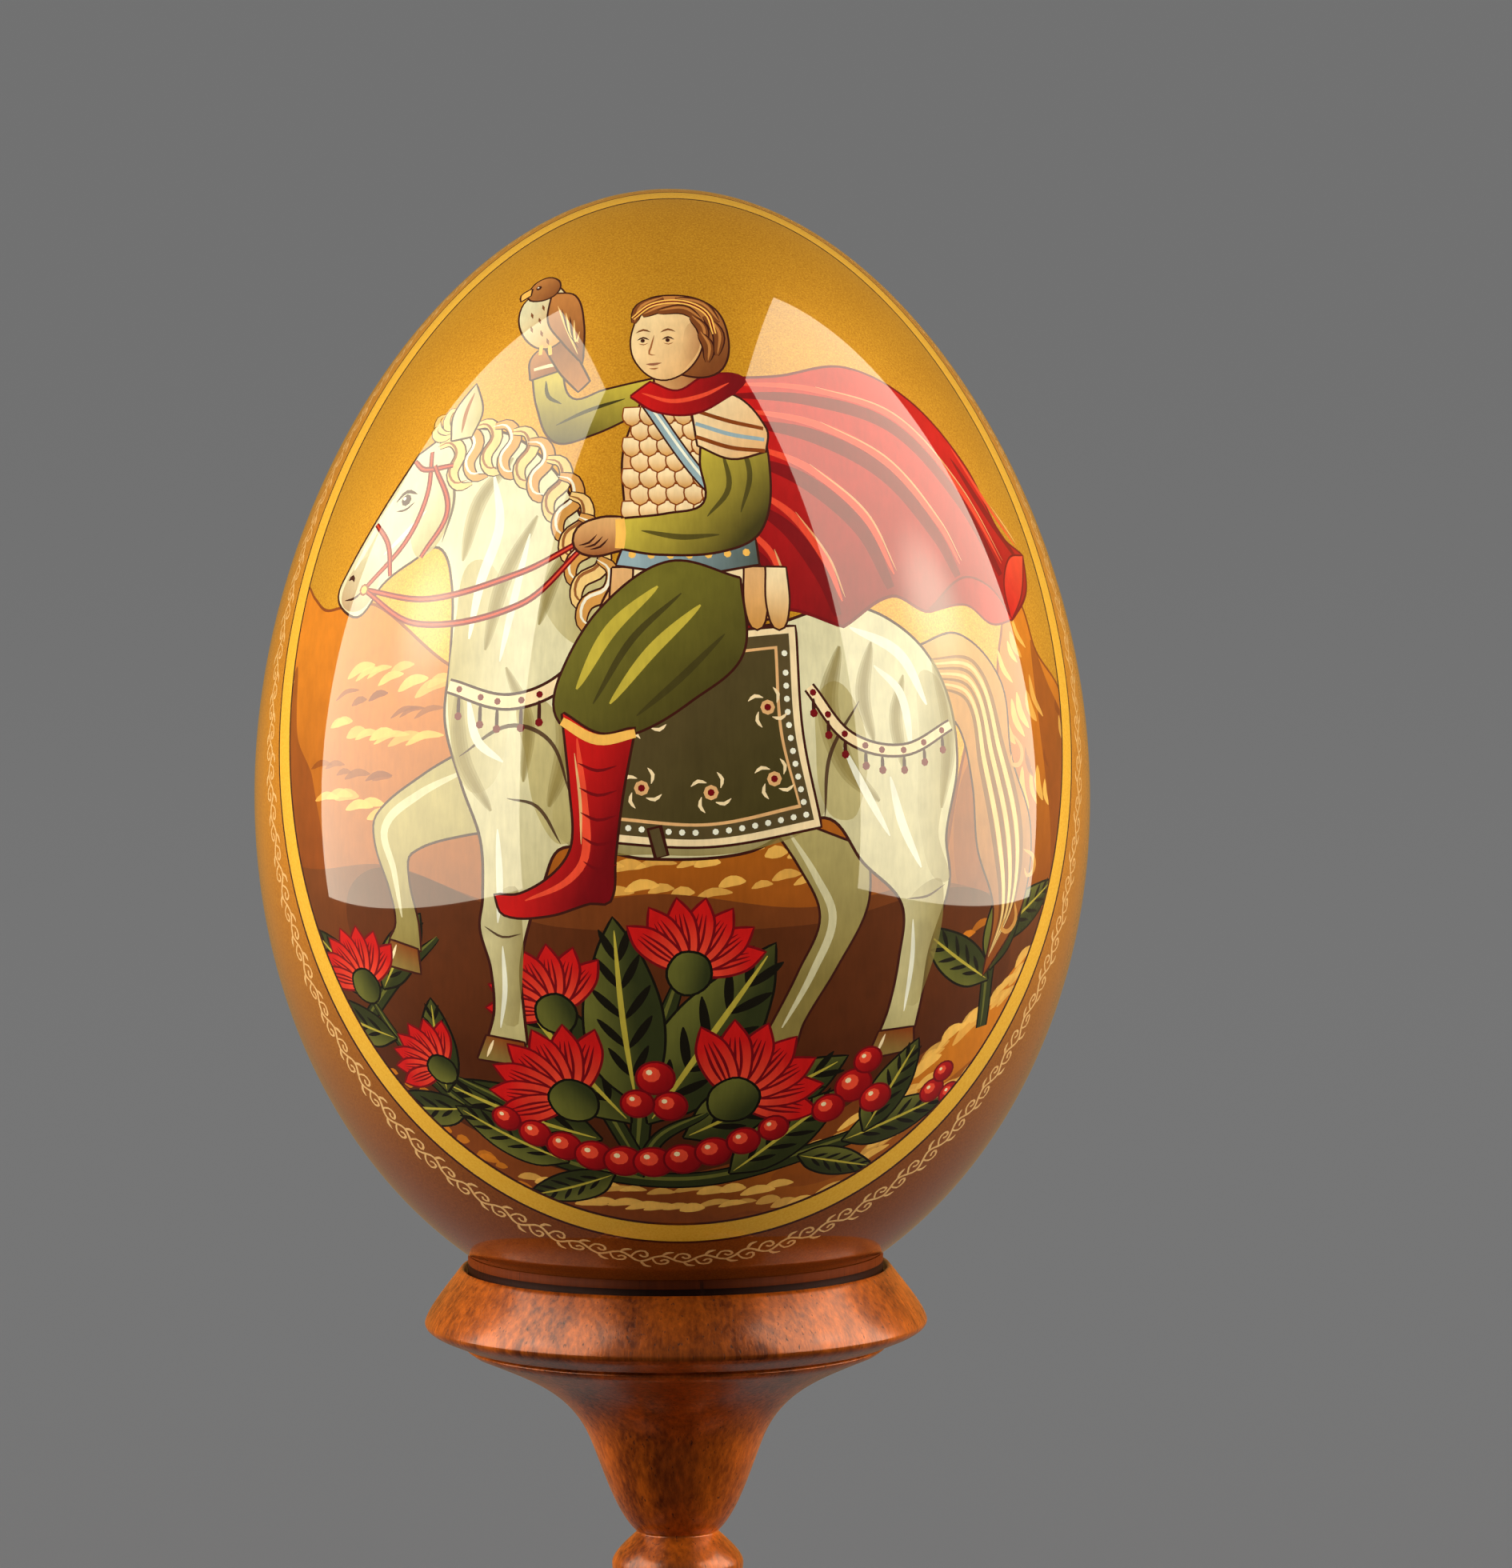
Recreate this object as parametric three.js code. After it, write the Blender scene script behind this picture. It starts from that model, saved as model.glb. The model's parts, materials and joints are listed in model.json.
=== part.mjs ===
// A painted wooden egg standing in a turned wooden stand.
// Units are millimetres, +Z is up, and the origin is the centre of the stand's underside.
import * as THREE from "three";

// Driving dimensions of the egg
const EGG_HEIGHT = 95.3;
const EGG_RADIUS = 35;
const EGG_POINTEDNESS = -0.079; // below zero, the narrow end is up
const EGG_SLIMNESS = -0.035; // draws both ends in from a plain ellipse
const EGG_MID_HEIGHT = 97.5; // the egg's mid-height above the table

// Driving dimensions of the stand, as radii and as heights above the table
const FOOT_RADIUS = 23.5;
const FOOT_EDGE_HEIGHT = 3.4;
const FOOT_BEVEL = 0.8;
const FOOT_FILLET = 0.6; // softens the corner where the step stands on the edge
const FOOT_STEP_RADIUS = 21;
const FOOT_STEP_HEIGHT = 5.6;
const FOOT_STEP_ROUNDING = 2;
const LOWER_NECK_RADIUS = 3.7;
const LOWER_NECK_HEIGHT = 26.2;
const BEAD_RADIUS = 5.55;
const BEAD_HEIGHT = 29.1;
const UPPER_NECK_RADIUS = 3.4;
const UPPER_NECK_HEIGHT = 31.8;
const TULIP_RADIUS = 7.2; // where the stem's bulge turns into the cup's flare
const TULIP_HEIGHT = 39.5;
const FLARE_RADIUS = 17.2;
const FLARE_HEIGHT = 47.2;
const GROOVE_HEIGHT = 47.9;
const GROOVE_WIDTH = 0.4;
const GROOVE_DEPTH = 0.5;
const GROOVE_LIP = 0.6; // each edge of the groove stands out by this from the one below
const RIM_RADIUS = 21.2;
const RIM_NOSE_HEIGHT = 49.8;
const RIM_NOSE_ROUNDING = 0.9;
const RIM_TOP_RADIUS = 17.7;
const RIM_TOP_HEIGHT = 54.4;
const RIM_EDGE_WIDTH = 0.4;
const SEAT_RADIUS = 14; // inside this radius the seat follows the egg
const SEAT_GAP = 0.3;

// Handles of the stand's long curves: steps in radius and height from each curve's two ends
const BELL_HANDLES = [[-8, 1.6], [2.2, -13.6]];
const BEAD_LOWER_HANDLES = [[0.5, 0.3], [0, -1.7]];
const BEAD_UPPER_HANDLES = [[0, 0.9], [0.6, -0.6]];
const STEM_HANDLES = [[1.7, 1.5], [-1.1, -2.8]];
const FLARE_HANDLES = [[1.6, 4.2], [-5, -2.1]];
const RIM_HANDLES = [[-0.2, 0.9], [1.8, -2.3]];

// Faceting
const SEGMENTS = 48;
const EGG_STEPS = 30;
const SEAT_STEPS = 6;
const CURVE_STEPS = 5;

const EGG_FINISH = { color: 0xc98a1e, roughness: 0.2, metalness: 0 };
const STAND_FINISH = { color: 0x8a4a22, roughness: 0.3, metalness: 0 };

const BLUNT_END = -Math.PI / 2;

// A point on the egg's outline. The angle runs from -90 degrees at the blunt end to +90 at the tip.
function eggOutline(angle) {
  const s = Math.sin(angle);
  const fullness = 1 + EGG_POINTEDNESS * s + EGG_SLIMNESS * s * s;
  const radius = EGG_RADIUS * Math.cos(angle) * fullness;
  return new THREE.Vector2(radius, EGG_MID_HEIGHT + (EGG_HEIGHT / 2) * s);
}

// The egg's outline moved outwards by a gap, for the dish that the egg sits in.
function seatOutline(angle) {
  const step = 1e-4;
  const along = eggOutline(angle + step).sub(eggOutline(angle - step)).normalize();
  const outwards = new THREE.Vector2(along.y, -along.x);
  return eggOutline(angle).addScaledVector(outwards, SEAT_GAP);
}

// The angle at which the dish reaches a given radius, found by halving.
function seatAngleAt(radius) {
  let low = BLUNT_END;
  let high = 0;
  const halvings = 40;
  for (let i = 0; i < halvings; i++) {
    const middle = (low + high) / 2;
    if (seatOutline(middle).x < radius) low = middle;
    else high = middle;
  }
  return low;
}

// Turns an outline of (radius, height) points about the Z axis into a closed body.
function turned(name, outline, finish) {
  const geometry = new THREE.LatheGeometry(outline, SEGMENTS);
  geometry.rotateX(Math.PI / 2);
  const mesh = new THREE.Mesh(geometry, new THREE.MeshStandardMaterial(finish));
  mesh.name = name;
  return mesh;
}

function makeEgg() {
  const outline = [];
  for (let i = 0; i <= EGG_STEPS; i++) {
    outline.push(eggOutline(BLUNT_END + (Math.PI * i) / EGG_STEPS));
  }
  outline[0].x = 0;
  outline[EGG_STEPS].x = 0;
  return turned("egg", outline, EGG_FINISH);
}

// Draws a curve from the path's last point to a new one, with a handle at each end.
function sweepTo(path, [startHandle, endHandle], radius, height) {
  const { x, y } = path.currentPoint;
  path.bezierCurveTo(
    x + startHandle[0], y + startHandle[1],
    radius + endHandle[0], height + endHandle[1],
    radius, height,
  );
}

// Foot: a flat underside, a bevelled edge, a low step, and a bell rising to the lower neck.
function drawFoot(path) {
  path.moveTo(0, 0);
  path.lineTo(FOOT_RADIUS - FOOT_BEVEL, 0);
  path.lineTo(FOOT_RADIUS, FOOT_BEVEL);
  path.lineTo(FOOT_RADIUS, FOOT_EDGE_HEIGHT - FOOT_BEVEL);
  path.quadraticCurveTo(FOOT_RADIUS, FOOT_EDGE_HEIGHT, FOOT_RADIUS - FOOT_BEVEL, FOOT_EDGE_HEIGHT);
  path.lineTo(FOOT_STEP_RADIUS + FOOT_FILLET, FOOT_EDGE_HEIGHT);
  path.lineTo(FOOT_STEP_RADIUS, FOOT_EDGE_HEIGHT + FOOT_FILLET);
  const roundedTo = FOOT_STEP_RADIUS - FOOT_STEP_ROUNDING;
  path.quadraticCurveTo(FOOT_STEP_RADIUS, FOOT_STEP_HEIGHT, roundedTo, FOOT_STEP_HEIGHT);
  sweepTo(path, BELL_HANDLES, LOWER_NECK_RADIUS, LOWER_NECK_HEIGHT);
}

// Bead: a rounded collar between the lower and the upper neck.
function drawBead(path) {
  sweepTo(path, BEAD_LOWER_HANDLES, BEAD_RADIUS, BEAD_HEIGHT);
  sweepTo(path, BEAD_UPPER_HANDLES, UPPER_NECK_RADIUS, UPPER_NECK_HEIGHT);
}

// Cup: a tulip stem that bulges out of the neck and flares to a groove under the rim.
function drawCup(path) {
  sweepTo(path, STEM_HANDLES, TULIP_RADIUS, TULIP_HEIGHT);
  sweepTo(path, FLARE_HANDLES, FLARE_RADIUS, FLARE_HEIGHT);
  const lowerEdge = FLARE_RADIUS + GROOVE_LIP;
  path.lineTo(lowerEdge, GROOVE_HEIGHT - GROOVE_WIDTH / 2);
  path.lineTo(lowerEdge - GROOVE_DEPTH, GROOVE_HEIGHT);
  path.lineTo(lowerEdge + GROOVE_LIP, GROOVE_HEIGHT + GROOVE_WIDTH / 2);
}

// Rim: a round nose, and a slightly crowned bevel that rises inwards to the edge around the egg.
function drawRim(path) {
  const noseStart = RIM_NOSE_HEIGHT - RIM_NOSE_ROUNDING;
  path.lineTo(RIM_RADIUS - RIM_NOSE_ROUNDING, noseStart);
  path.quadraticCurveTo(RIM_RADIUS, noseStart + RIM_NOSE_ROUNDING / 2, RIM_RADIUS, RIM_NOSE_HEIGHT);
  sweepTo(path, RIM_HANDLES, RIM_TOP_RADIUS + RIM_EDGE_WIDTH, RIM_TOP_HEIGHT);
  path.lineTo(RIM_TOP_RADIUS, RIM_TOP_HEIGHT);
}

function makeStand() {
  const path = new THREE.Path();
  drawFoot(path);
  drawBead(path);
  drawCup(path);
  drawRim(path);
  const outline = path.getPoints(CURVE_STEPS);
  // The dish, from its mouth down to its lowest point on the axis
  const mouth = seatAngleAt(SEAT_RADIUS);
  for (let i = 0; i <= SEAT_STEPS; i++) {
    outline.push(seatOutline(mouth + ((BLUNT_END - mouth) * i) / SEAT_STEPS));
  }
  outline[outline.length - 1].x = 0;
  return turned("stand", outline, STAND_FINISH);
}

const ornament = new THREE.Group();
ornament.add(makeEgg());
ornament.add(makeStand());

export default ornament;
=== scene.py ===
# %% [markdown]
# # A painted wooden egg on its turned stand
# This lesson dresses two plain turned solids, an egg and the stand it rests in, as a lacquer painter's
# showpiece. Everything is in metres, +Z is up, and the painted front faces -Y. The solids come from a
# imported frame. They fix the size, so each piece made here takes its measures from them and stays inside
# them.

# %% Load the frame and keep its box
import json
import math

import bpy
import numpy as np
from mathutils import Matrix, Vector
from mathutils.geometry import delaunay_2d_cdt

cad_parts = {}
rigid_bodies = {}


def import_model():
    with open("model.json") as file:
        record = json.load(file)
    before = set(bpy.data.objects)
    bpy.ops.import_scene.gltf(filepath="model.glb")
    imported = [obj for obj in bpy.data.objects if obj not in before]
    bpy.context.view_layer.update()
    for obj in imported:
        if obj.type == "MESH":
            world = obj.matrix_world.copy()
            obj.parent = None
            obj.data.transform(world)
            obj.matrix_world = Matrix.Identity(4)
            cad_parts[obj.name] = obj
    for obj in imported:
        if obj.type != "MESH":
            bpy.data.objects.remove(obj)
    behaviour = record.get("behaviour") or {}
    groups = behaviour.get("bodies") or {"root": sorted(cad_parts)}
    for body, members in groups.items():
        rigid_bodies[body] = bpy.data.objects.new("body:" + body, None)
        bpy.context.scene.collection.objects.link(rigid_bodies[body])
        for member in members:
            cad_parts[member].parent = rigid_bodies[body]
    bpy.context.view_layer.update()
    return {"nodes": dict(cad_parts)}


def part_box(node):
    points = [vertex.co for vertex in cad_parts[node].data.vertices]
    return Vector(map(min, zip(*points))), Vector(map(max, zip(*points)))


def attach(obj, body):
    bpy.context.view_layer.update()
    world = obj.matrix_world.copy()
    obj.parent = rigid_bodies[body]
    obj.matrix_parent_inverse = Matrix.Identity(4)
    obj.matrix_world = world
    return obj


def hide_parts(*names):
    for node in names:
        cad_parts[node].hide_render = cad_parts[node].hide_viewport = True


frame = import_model()
scene = bpy.context.scene
MM = 0.001
print("nodes in the frame:", sorted(frame["nodes"]))

# %% [markdown]
# ## The camera
# The photograph was taken with a long lens, a little above the egg and a little to the left of its own
# middle. Two angles and a distance say that better than a position found by eye: how far the camera looks
# down at the egg's middle, and how far the egg sits from the middle of the image, in pixels turned into
# angles.

# %% Camera
IMAGE_WIDTH, IMAGE_HEIGHT = 1890, 1960
EGG_MIDDLE_PIXEL = (840, 945.6)
CAMERA_DISTANCE = 800 * MM
CAMERA_RISE = 71 * MM  # above the egg's middle
FOCAL_PIXELS = 11950
CAMERA_ROLL = math.radians(-0.35)
SENSOR = 36  # millimetres

egg_low, egg_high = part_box("egg")
egg_middle = (egg_low + egg_high) / 2


def place_camera():
    down = math.atan2(CAMERA_RISE, CAMERA_DISTANCE)
    down += math.atan((IMAGE_HEIGHT / 2 - EGG_MIDDLE_PIXEL[1]) / FOCAL_PIXELS)
    aside = math.atan((EGG_MIDDLE_PIXEL[0] - IMAGE_WIDTH / 2) / FOCAL_PIXELS)
    data = bpy.data.cameras.new("camera")
    data.sensor_fit = "VERTICAL"
    data.sensor_height = SENSOR
    data.lens = FOCAL_PIXELS / IMAGE_HEIGHT * SENSOR
    camera = bpy.data.objects.new("camera", data)
    scene.collection.objects.link(camera)
    turn = Matrix.Rotation(aside, 4, "Z") @ Matrix.Rotation(math.pi / 2 - down, 4, "X")
    spot = egg_middle + Vector((0, -CAMERA_DISTANCE, CAMERA_RISE))
    camera.matrix_world = Matrix.Translation(spot) @ turn @ Matrix.Rotation(CAMERA_ROLL, 4, "Z")
    scene.camera = camera
    return camera


print("lens in mm:", round(place_camera().data.lens, 1))

# %% [markdown]
# ## A small paint box
# The picture is only colour, so it can't be raised from the egg. It could be an image, but an image is a
# grid of pixels and this lesson uses none. It could be shader nodes, but a figure drawn with nodes is
# hard to read. Here every brush mark is an outline on a flat sheet, in millimetres, laid down in order as
# a painter would. Later the sheet is cut into triangles along those outlines and wrapped round the egg,
# so every edge stays sharp.

# %% Colours on the palette
def pigment(red, green, blue):
    """An 8-bit sRGB colour as the linear colour that Blender works in."""
    share = np.array([red, green, blue]) / 255
    return np.where(share <= 0.04045, share / 12.92, ((share + 0.055) / 1.055) ** 2.4)


INK = pigment(62, 22, 14)
CREAM = pigment(228, 216, 166)
CREAM_SHADE = pigment(186, 168, 102)
CREAM_DEEP = pigment(142, 122, 60)
WHITE = pigment(246, 240, 208)
TAN = pigment(214, 150, 70)
TAN_LIGHT = pigment(244, 200, 120)
RED = pigment(204, 22, 20)
RED_LIGHT = pigment(242, 76, 46)
RED_DARK = pigment(116, 8, 16)
OCHRE = pigment(214, 122, 24)
OCHRE_LIGHT = pigment(250, 188, 84)
OCHRE_DARK = pigment(134, 62, 18)
EARTH = pigment(124, 62, 22)
EARTH_DARK = pigment(80, 36, 14)
LEAF = pigment(48, 52, 22)
LEAF_LIGHT = pigment(104, 102, 40)
LEAF_DARK = pigment(22, 18, 9)
SKIN = pigment(226, 170, 104)
SKIN_LIGHT = pigment(248, 212, 150)
SKIN_SHADE = pigment(160, 92, 44)
HAIR = pigment(124, 66, 28)
HAIR_LIGHT = pigment(192, 122, 58)
PEACH = pigment(232, 176, 112)
PEACH_LIGHT = pigment(252, 222, 166)
BLUE_GREY = pigment(150, 172, 172)
OLIVE = pigment(112, 104, 34)
OLIVE_LIGHT = pigment(204, 180, 62)
OLIVE_DARK = pigment(66, 58, 22)
CLOTH = pigment(88, 72, 40)
print("ink in linear light:", INK.round(4))

# %% A smooth curve through a few points
MARK_STEP = 0.55  # millimetres between two points of a mark's edge


def bend(points, closed):
    """A smooth curve through a few points. A point that is given twice is a sharp corner."""
    points = [np.array(p, float) for p in points]
    if closed:
        points.append(points[0])
    runs = [[points[0]]]
    for last, point in zip(points, points[1:]):
        if np.allclose(last, point):
            runs.append([])
        runs[-1].append(point)
    smooth_loop = closed and len(runs) == 1
    curve = []
    for run in runs:
        first = run[-2] if smooth_loop else 2 * run[0] - run[min(1, len(run) - 1)]
        final = run[1] if smooth_loop else 2 * run[-1] - run[max(-2, -len(run))]
        ring = [first, *run, final]
        for before, start, end, after in zip(ring, ring[1:], ring[2:], ring[3:]):
            reach = np.linalg.norm(end - start)
            leave = (end - before) / max(np.linalg.norm(end - before), 1e-9) * reach
            arrive = (after - start) / max(np.linalg.norm(after - start), 1e-9) * reach
            count = max(2, int(np.ceil(reach / MARK_STEP)))
            t = (np.arange(count) / count)[:, None]
            curve.append(
                (2 * t**3 - 3 * t**2 + 1) * start + (t**3 - 2 * t**2 + t) * leave
                + (3 * t**2 - 2 * t**3) * end + (t**3 - t**2) * arrive
            )
        if not smooth_loop:
            curve.append(run[-1][None])
    curve = np.concatenate(curve)
    keep = np.linalg.norm(np.diff(curve, axis=0, prepend=curve[-1:] + 9), axis=1) > 1e-6
    return curve[keep]


print("points of a bent triangle:", len(bend([(0, 0), (10, 0), (5, 8)], closed=True)))

# %% Filled areas
marks = []


def lay(outline, colour, to=None, along=None, cover=1.0, cover_end=None):
    """One mark. The colour may turn into another, or thin out, along the line from one point to another."""
    marks.append({
        "outline": outline,
        "colour": colour,
        "to": colour if to is None else to,
        "along": along or (outline[0], outline[0] + 1),
        "cover": (cover, cover if cover_end is None else cover_end),
    })


def wash(points, colour, **how):
    """A filled area with a smooth edge."""
    lay(bend(points, closed=True), colour, **how)


def widened(outline, by):
    """The outline moved outwards, whichever way round it was drawn."""
    along = np.roll(outline, -1, axis=0) - np.roll(outline, 1, axis=0)
    along /= np.maximum(np.linalg.norm(along, axis=1, keepdims=True), 1e-9)
    x, y = outline.T
    left_handed = np.sum(x * np.roll(y, -1) - np.roll(x, -1) * y) > 0
    sideways = np.stack([along[:, 1], -along[:, 0]], axis=1)
    return outline + sideways * (by if left_handed else -by)


def shape(points, colour, ink=INK, edge=0.22, **how):
    """A filled area with a dark line round it."""
    outline = bend(points, closed=True)
    lay(widened(outline, edge), ink)
    lay(outline, colour, **how)


print("marks so far:", len(marks))

# %% Strokes and dots
STROKE_SWELL = 0.7  # below 1, a stroke is wide for most of its length
SOFT_SHARES = (1, 0.68, 0.36)


def brushed(path, width, ends):
    """The outline of a brush stroke along a path. It swells to its width and thins out to its ends."""
    along = np.gradient(path, axis=0)
    along /= np.maximum(np.linalg.norm(along, axis=1, keepdims=True), 1e-9)
    t = np.linspace(0, 1, len(path))
    swell = np.sin(np.pi * t) ** STROKE_SWELL
    half = width / 2 * (swell + (1 - swell) * np.where(t < 0.5, *ends))
    sideways = np.stack([-along[:, 1], along[:, 0]], axis=1) * half[:, None]
    return np.concatenate([path + sideways, (path - sideways)[::-1]])


def stroke(points, width, colour, ends=(0.15, 0.15), **how):
    """A brush stroke through a few points. `ends` are the shares of its width left at its two ends."""
    lay(brushed(bend(points, closed=False), width, ends), colour, **how)


def soft_stroke(points, width, colour, cover=0.5):
    """A stroke with a soft edge: three strokes on top of each other, each slimmer than the last."""
    for share in SOFT_SHARES:
        stroke(points, width * share, colour, cover=cover)


def dot(centre, radius, colour, **how):
    """A round touch of the brush."""
    turn = np.linspace(0, 2 * np.pi, max(7, int(radius * 14)), endpoint=False)
    lay(np.array(centre) + radius * np.stack([np.cos(turn), np.sin(turn)], axis=1), colour, **how)


def placed(points, at, turn=0, size=1):
    """A motif's points, turned by some degrees, resized and moved to their place."""
    c, s = np.cos(np.radians(turn)) * size, np.sin(np.radians(turn)) * size
    return [(at[0] + c * x - s * y, at[1] + s * x + c * y) for x, y in points]


def spaced(points, count, inset=0):
    """Spots spread evenly along a smooth curve. `inset` is the share of a gap left free at each end."""
    curve = bend(points, closed=False)
    return [curve[int((len(curve) - 1) * (k + inset) / (count - 1 + 2 * inset))] for k in range(count)]


print("a point turned by a right angle:", np.round(placed([(1, 0)], (0, 0), 90), 3))

# %% [markdown]
# ## Hills and ground
# Behind the figures lie ochre rock with pale touches, brown earth and a bare gold sky. Each hill is one
# wash that darkens downwards, with a few rows of short strokes to break it into ledges.

# %% Hills
def ledges(rows, colour, width, seed):
    """Rows of short strokes. A row has two ends, a count, a stroke's length and its lean in degrees."""
    rng = np.random.default_rng(seed)
    for start, end, count, length, lean in rows:
        for share in (np.arange(count) + 0.5) / count:
            x, y = np.array(start) + share * np.subtract(end, start) + rng.normal(0, 0.35, 2)
            reach = length * rng.uniform(0.65, 1.25)
            dx, dy = reach * np.cos(np.radians(lean)), reach * np.sin(np.radians(lean))
            stroke([(x, y), (x + dx * 0.5 - dy * 0.12, y + dy * 0.5 + dx * 0.12), (x + dx, y + dy)],
                   width * rng.uniform(0.7, 1.3), colour, cover=rng.uniform(0.6, 1))


def paint_hills():
    far_right = [(22, -12), (26, 4), (29, 5.5), (31.5, 13), (34.5, 17.5), (37, 12), (41, 8), (46, -6),
                 (48, -30), (20, -30)]
    far_left = [(-48, -30), (-47, 0), (-44.5, 16), (-41.5, 20), (-39, 18.4), (-36.5, 16.8), (-33.5, 16.8),
                (-29, 16.5), (-21, 11), (-12, 6), (-8, -30)]
    middle = [(-16, -30), (-15, -4), (-8, -1), (0, 1.5), (8, 1), (16, -3), (24, -1), (27, -30)]
    for ridge in (middle, far_right, far_left):
        shape(ridge, OCHRE, to=OCHRE_DARK, along=((0, 14), (0, -16)), ink=OCHRE_DARK, edge=0.3)
    wash([(36.2, 13), (38.5, 9), (42, 4), (46, -8), (40, -16), (37, -4)], OCHRE_DARK, cover=0.75)
    wash([(-40.8, 11), (-39, 4), (-36, 0), (-34, -12), (-40, -16), (-42, -4)], OCHRE_DARK, cover=0.8)
    wash([(26, 2), (30, -1), (33, -8), (28, -12), (24, -8)], OCHRE_DARK, cover=0.55)
    ledges([((-44.5, 14), (-43, -12), 13, 3.2, 62), ((-41.8, 17), (-42, 6), 5, 2.6, 75),
            ((-33, 10.5), (-22, 8), 8, 3.4, 20), ((-35, 5), (-24, 3.5), 8, 3.4, 14),
            ((-36, -2), (-26, -3), 7, 3.2, 10), ((32, 9), (36, 13), 4, 3.2, 118),
            ((29, 2), (37.5, 5), 7, 3.6, 112), ((28, -4), (38, -3), 8, 3.4, 100),
            ((41, 3), (44.5, -10), 7, 2.8, 108), ((-9, -6), (9, -5), 10, 2.8, 8),
            ((-8, -8.4), (12, -7.6), 10, 2.6, 10)], OCHRE_LIGHT, width=0.85, seed=3)
    ledges([((-34, 8), (-22, 6), 6, 2.6, 18), ((-37, 1), (-27, 0.5), 6, 2.6, 12),
            ((29, -1), (37, 1), 6, 2.6, 108), ((-44.6, 8), (-43, -14), 7, 2.4, 64),
            ((40, 6), (45, -8), 6, 2.4, 112)], OCHRE_DARK, width=0.6, seed=4)


paint_hills()
print("marks of the hills:", len(marks))

# %% Ground
def paint_ground():
    ground = [(-50, -6), (-38, -9), (-26, -7), (-14, -9.5), (-2, -8), (10, -9.5), (22, -8.5), (34, -12),
              (50, -8), (50, -50), (-50, -50)]
    wash(ground, EARTH, to=EARTH_DARK, along=((0, -6), (0, -24)))
    wash([(-30, -9), (-10, -11), (10, -11), (27, -10), (30, -20), (6, -27), (-22, -24)], EARTH_DARK,
         along=((0, -9), (0, -27)), cover=0.75, cover_end=0.15)
    near = [(-50, -24), (-36, -25), (-24, -30), (-8, -35.5), (6, -33), (18, -26.5), (28, -22), (50, -16),
            (50, -50), (-50, -50)]
    wash(near, EARTH, to=OCHRE_DARK, along=((0, -22), (0, -42)))
    bank = [(12, -32.5), (18, -27.5), (27, -22.5), (37, -15.5), (50, -11), (50, -50), (-16, -50),
            (-12, -38.5), (4, -35.5)]
    wash(bank, OCHRE, to=OCHRE_DARK, along=((24, -20), (6, -44)))
    wash([(14, -32.5), (22, -30), (31, -25.5), (40, -20.5), (42, -26), (30, -32), (18, -36), (8, -36.5)],
         OCHRE_DARK, cover=0.55)
    ledges([((17, -29), (37, -16.5), 15, 3.8, 30), ((8, -34), (22, -28.5), 9, 3.6, 20),
            ((14, -36.6), (35, -25), 15, 3.6, 30), ((20, -26.2), (36, -18.6), 11, 2.6, 28),
            ((-14, -39.2), (12, -39.4), 16, 3.4, 8), ((-16, -37), (8, -37.2), 12, 3.0, 6),
            ((16, -34.6), (33, -27), 10, 2.6, 28)], OCHRE_LIGHT, width=0.95, seed=5)
    ledges([((-38, -27), (-16, -36), 12, 1.7, 8), ((-36, -22), (-28, -24), 5, 1.6, 4),
            ((24, -14), (36, -13), 8, 2.0, 16), ((-30, -31), (-14, -38.5), 9, 1.7, 0),
            ((-30, -27), (-20, -32), 6, 1.3, 6)], OCHRE, width=0.95, seed=6)
    ledges([((18, -33), (36, -25), 9, 2.8, 24), ((-6, -41), (12, -41), 8, 2.6, 6)], OCHRE_DARK,
           width=0.55, seed=7)


paint_ground()
print("marks with the ground:", len(marks))

# %% [markdown]
# ## Leaves, flowers and berries
# The foot of the picture holds the darkest greens and deep reds. One leaf, one flower and one berry are
# each drawn once, at the origin, and then placed many times with their own turn and size. Only what
# grows behind the horse's legs is painted here.

# %% Plants behind the horse
def paint_leaf(at, turn, size):
    """A long leaf with a pale spine and dark ribs. It grows along +X from its stalk and is 10 mm long."""
    blade = [(0, 0), (0, 0), (2.2, 1.7), (5.4, 1.9), (8.4, 0.9), (10, 0), (10, 0), (8, -1.1), (5, -1.8),
             (2, -1.4)]
    shape(placed(blade, at, turn, size), LEAF_LIGHT, to=LEAF, ink=LEAF_DARK,
          along=placed([(0, 1.6), (0, -0.6)], at, turn, size))
    for share in (1.6, 3.2, 4.8, 6.4, 7.8):
        for side in (1, -1):
            reach = 1.55 * (1 - abs(share - 4.2) / 7)
            rib = [(share, 0), (share + 0.9, side * reach * 0.55), (share + 1.7, side * reach)]
            stroke(placed(rib, at, turn, size), 0.42 * size, LEAF_DARK)
    stroke(placed([(0.3, 0), (5, 0.1), (9.4, 0)], at, turn, size), 0.28 * size, OLIVE_LIGHT, cover=0.8)


def paint_flower(at, turn, size, petals=7):
    """An open flower with a fan of pointed petals, 5 mm from its heart to a petal's tip."""
    for k in range(petals):
        lean = turn + (k - (petals - 1) / 2) * 150 / petals
        petal = [(0, 0), (0, 0), (1.6, 0.75), (3.6, 0.8), (5, 0), (5, 0), (3.6, -0.8), (1.6, -0.75)]
        shape(placed(petal, at, lean, size), RED_LIGHT, to=RED, ink=RED_DARK,
              along=placed([(0.6, 0), (3.8, 0)], at, lean, size))
        for side in (-0.35, 0, 0.35):
            vein = [(1.0, side * 0.5), (2.4, side), (4.0, side * 0.7)]
            stroke(placed(vein, at, lean, size), 0.17 * size, RED_DARK)
    cup = [(-1.6, 0), (-0.6, 1.3), (0.9, 1.0), (1.3, 0), (0.9, -1.0), (-0.6, -1.3)]
    shape(placed(cup, at, turn, size), LEAF_LIGHT, to=LEAF, ink=LEAF_DARK,
          along=placed([(0, 1), (0, -1)], at, turn, size))


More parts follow.
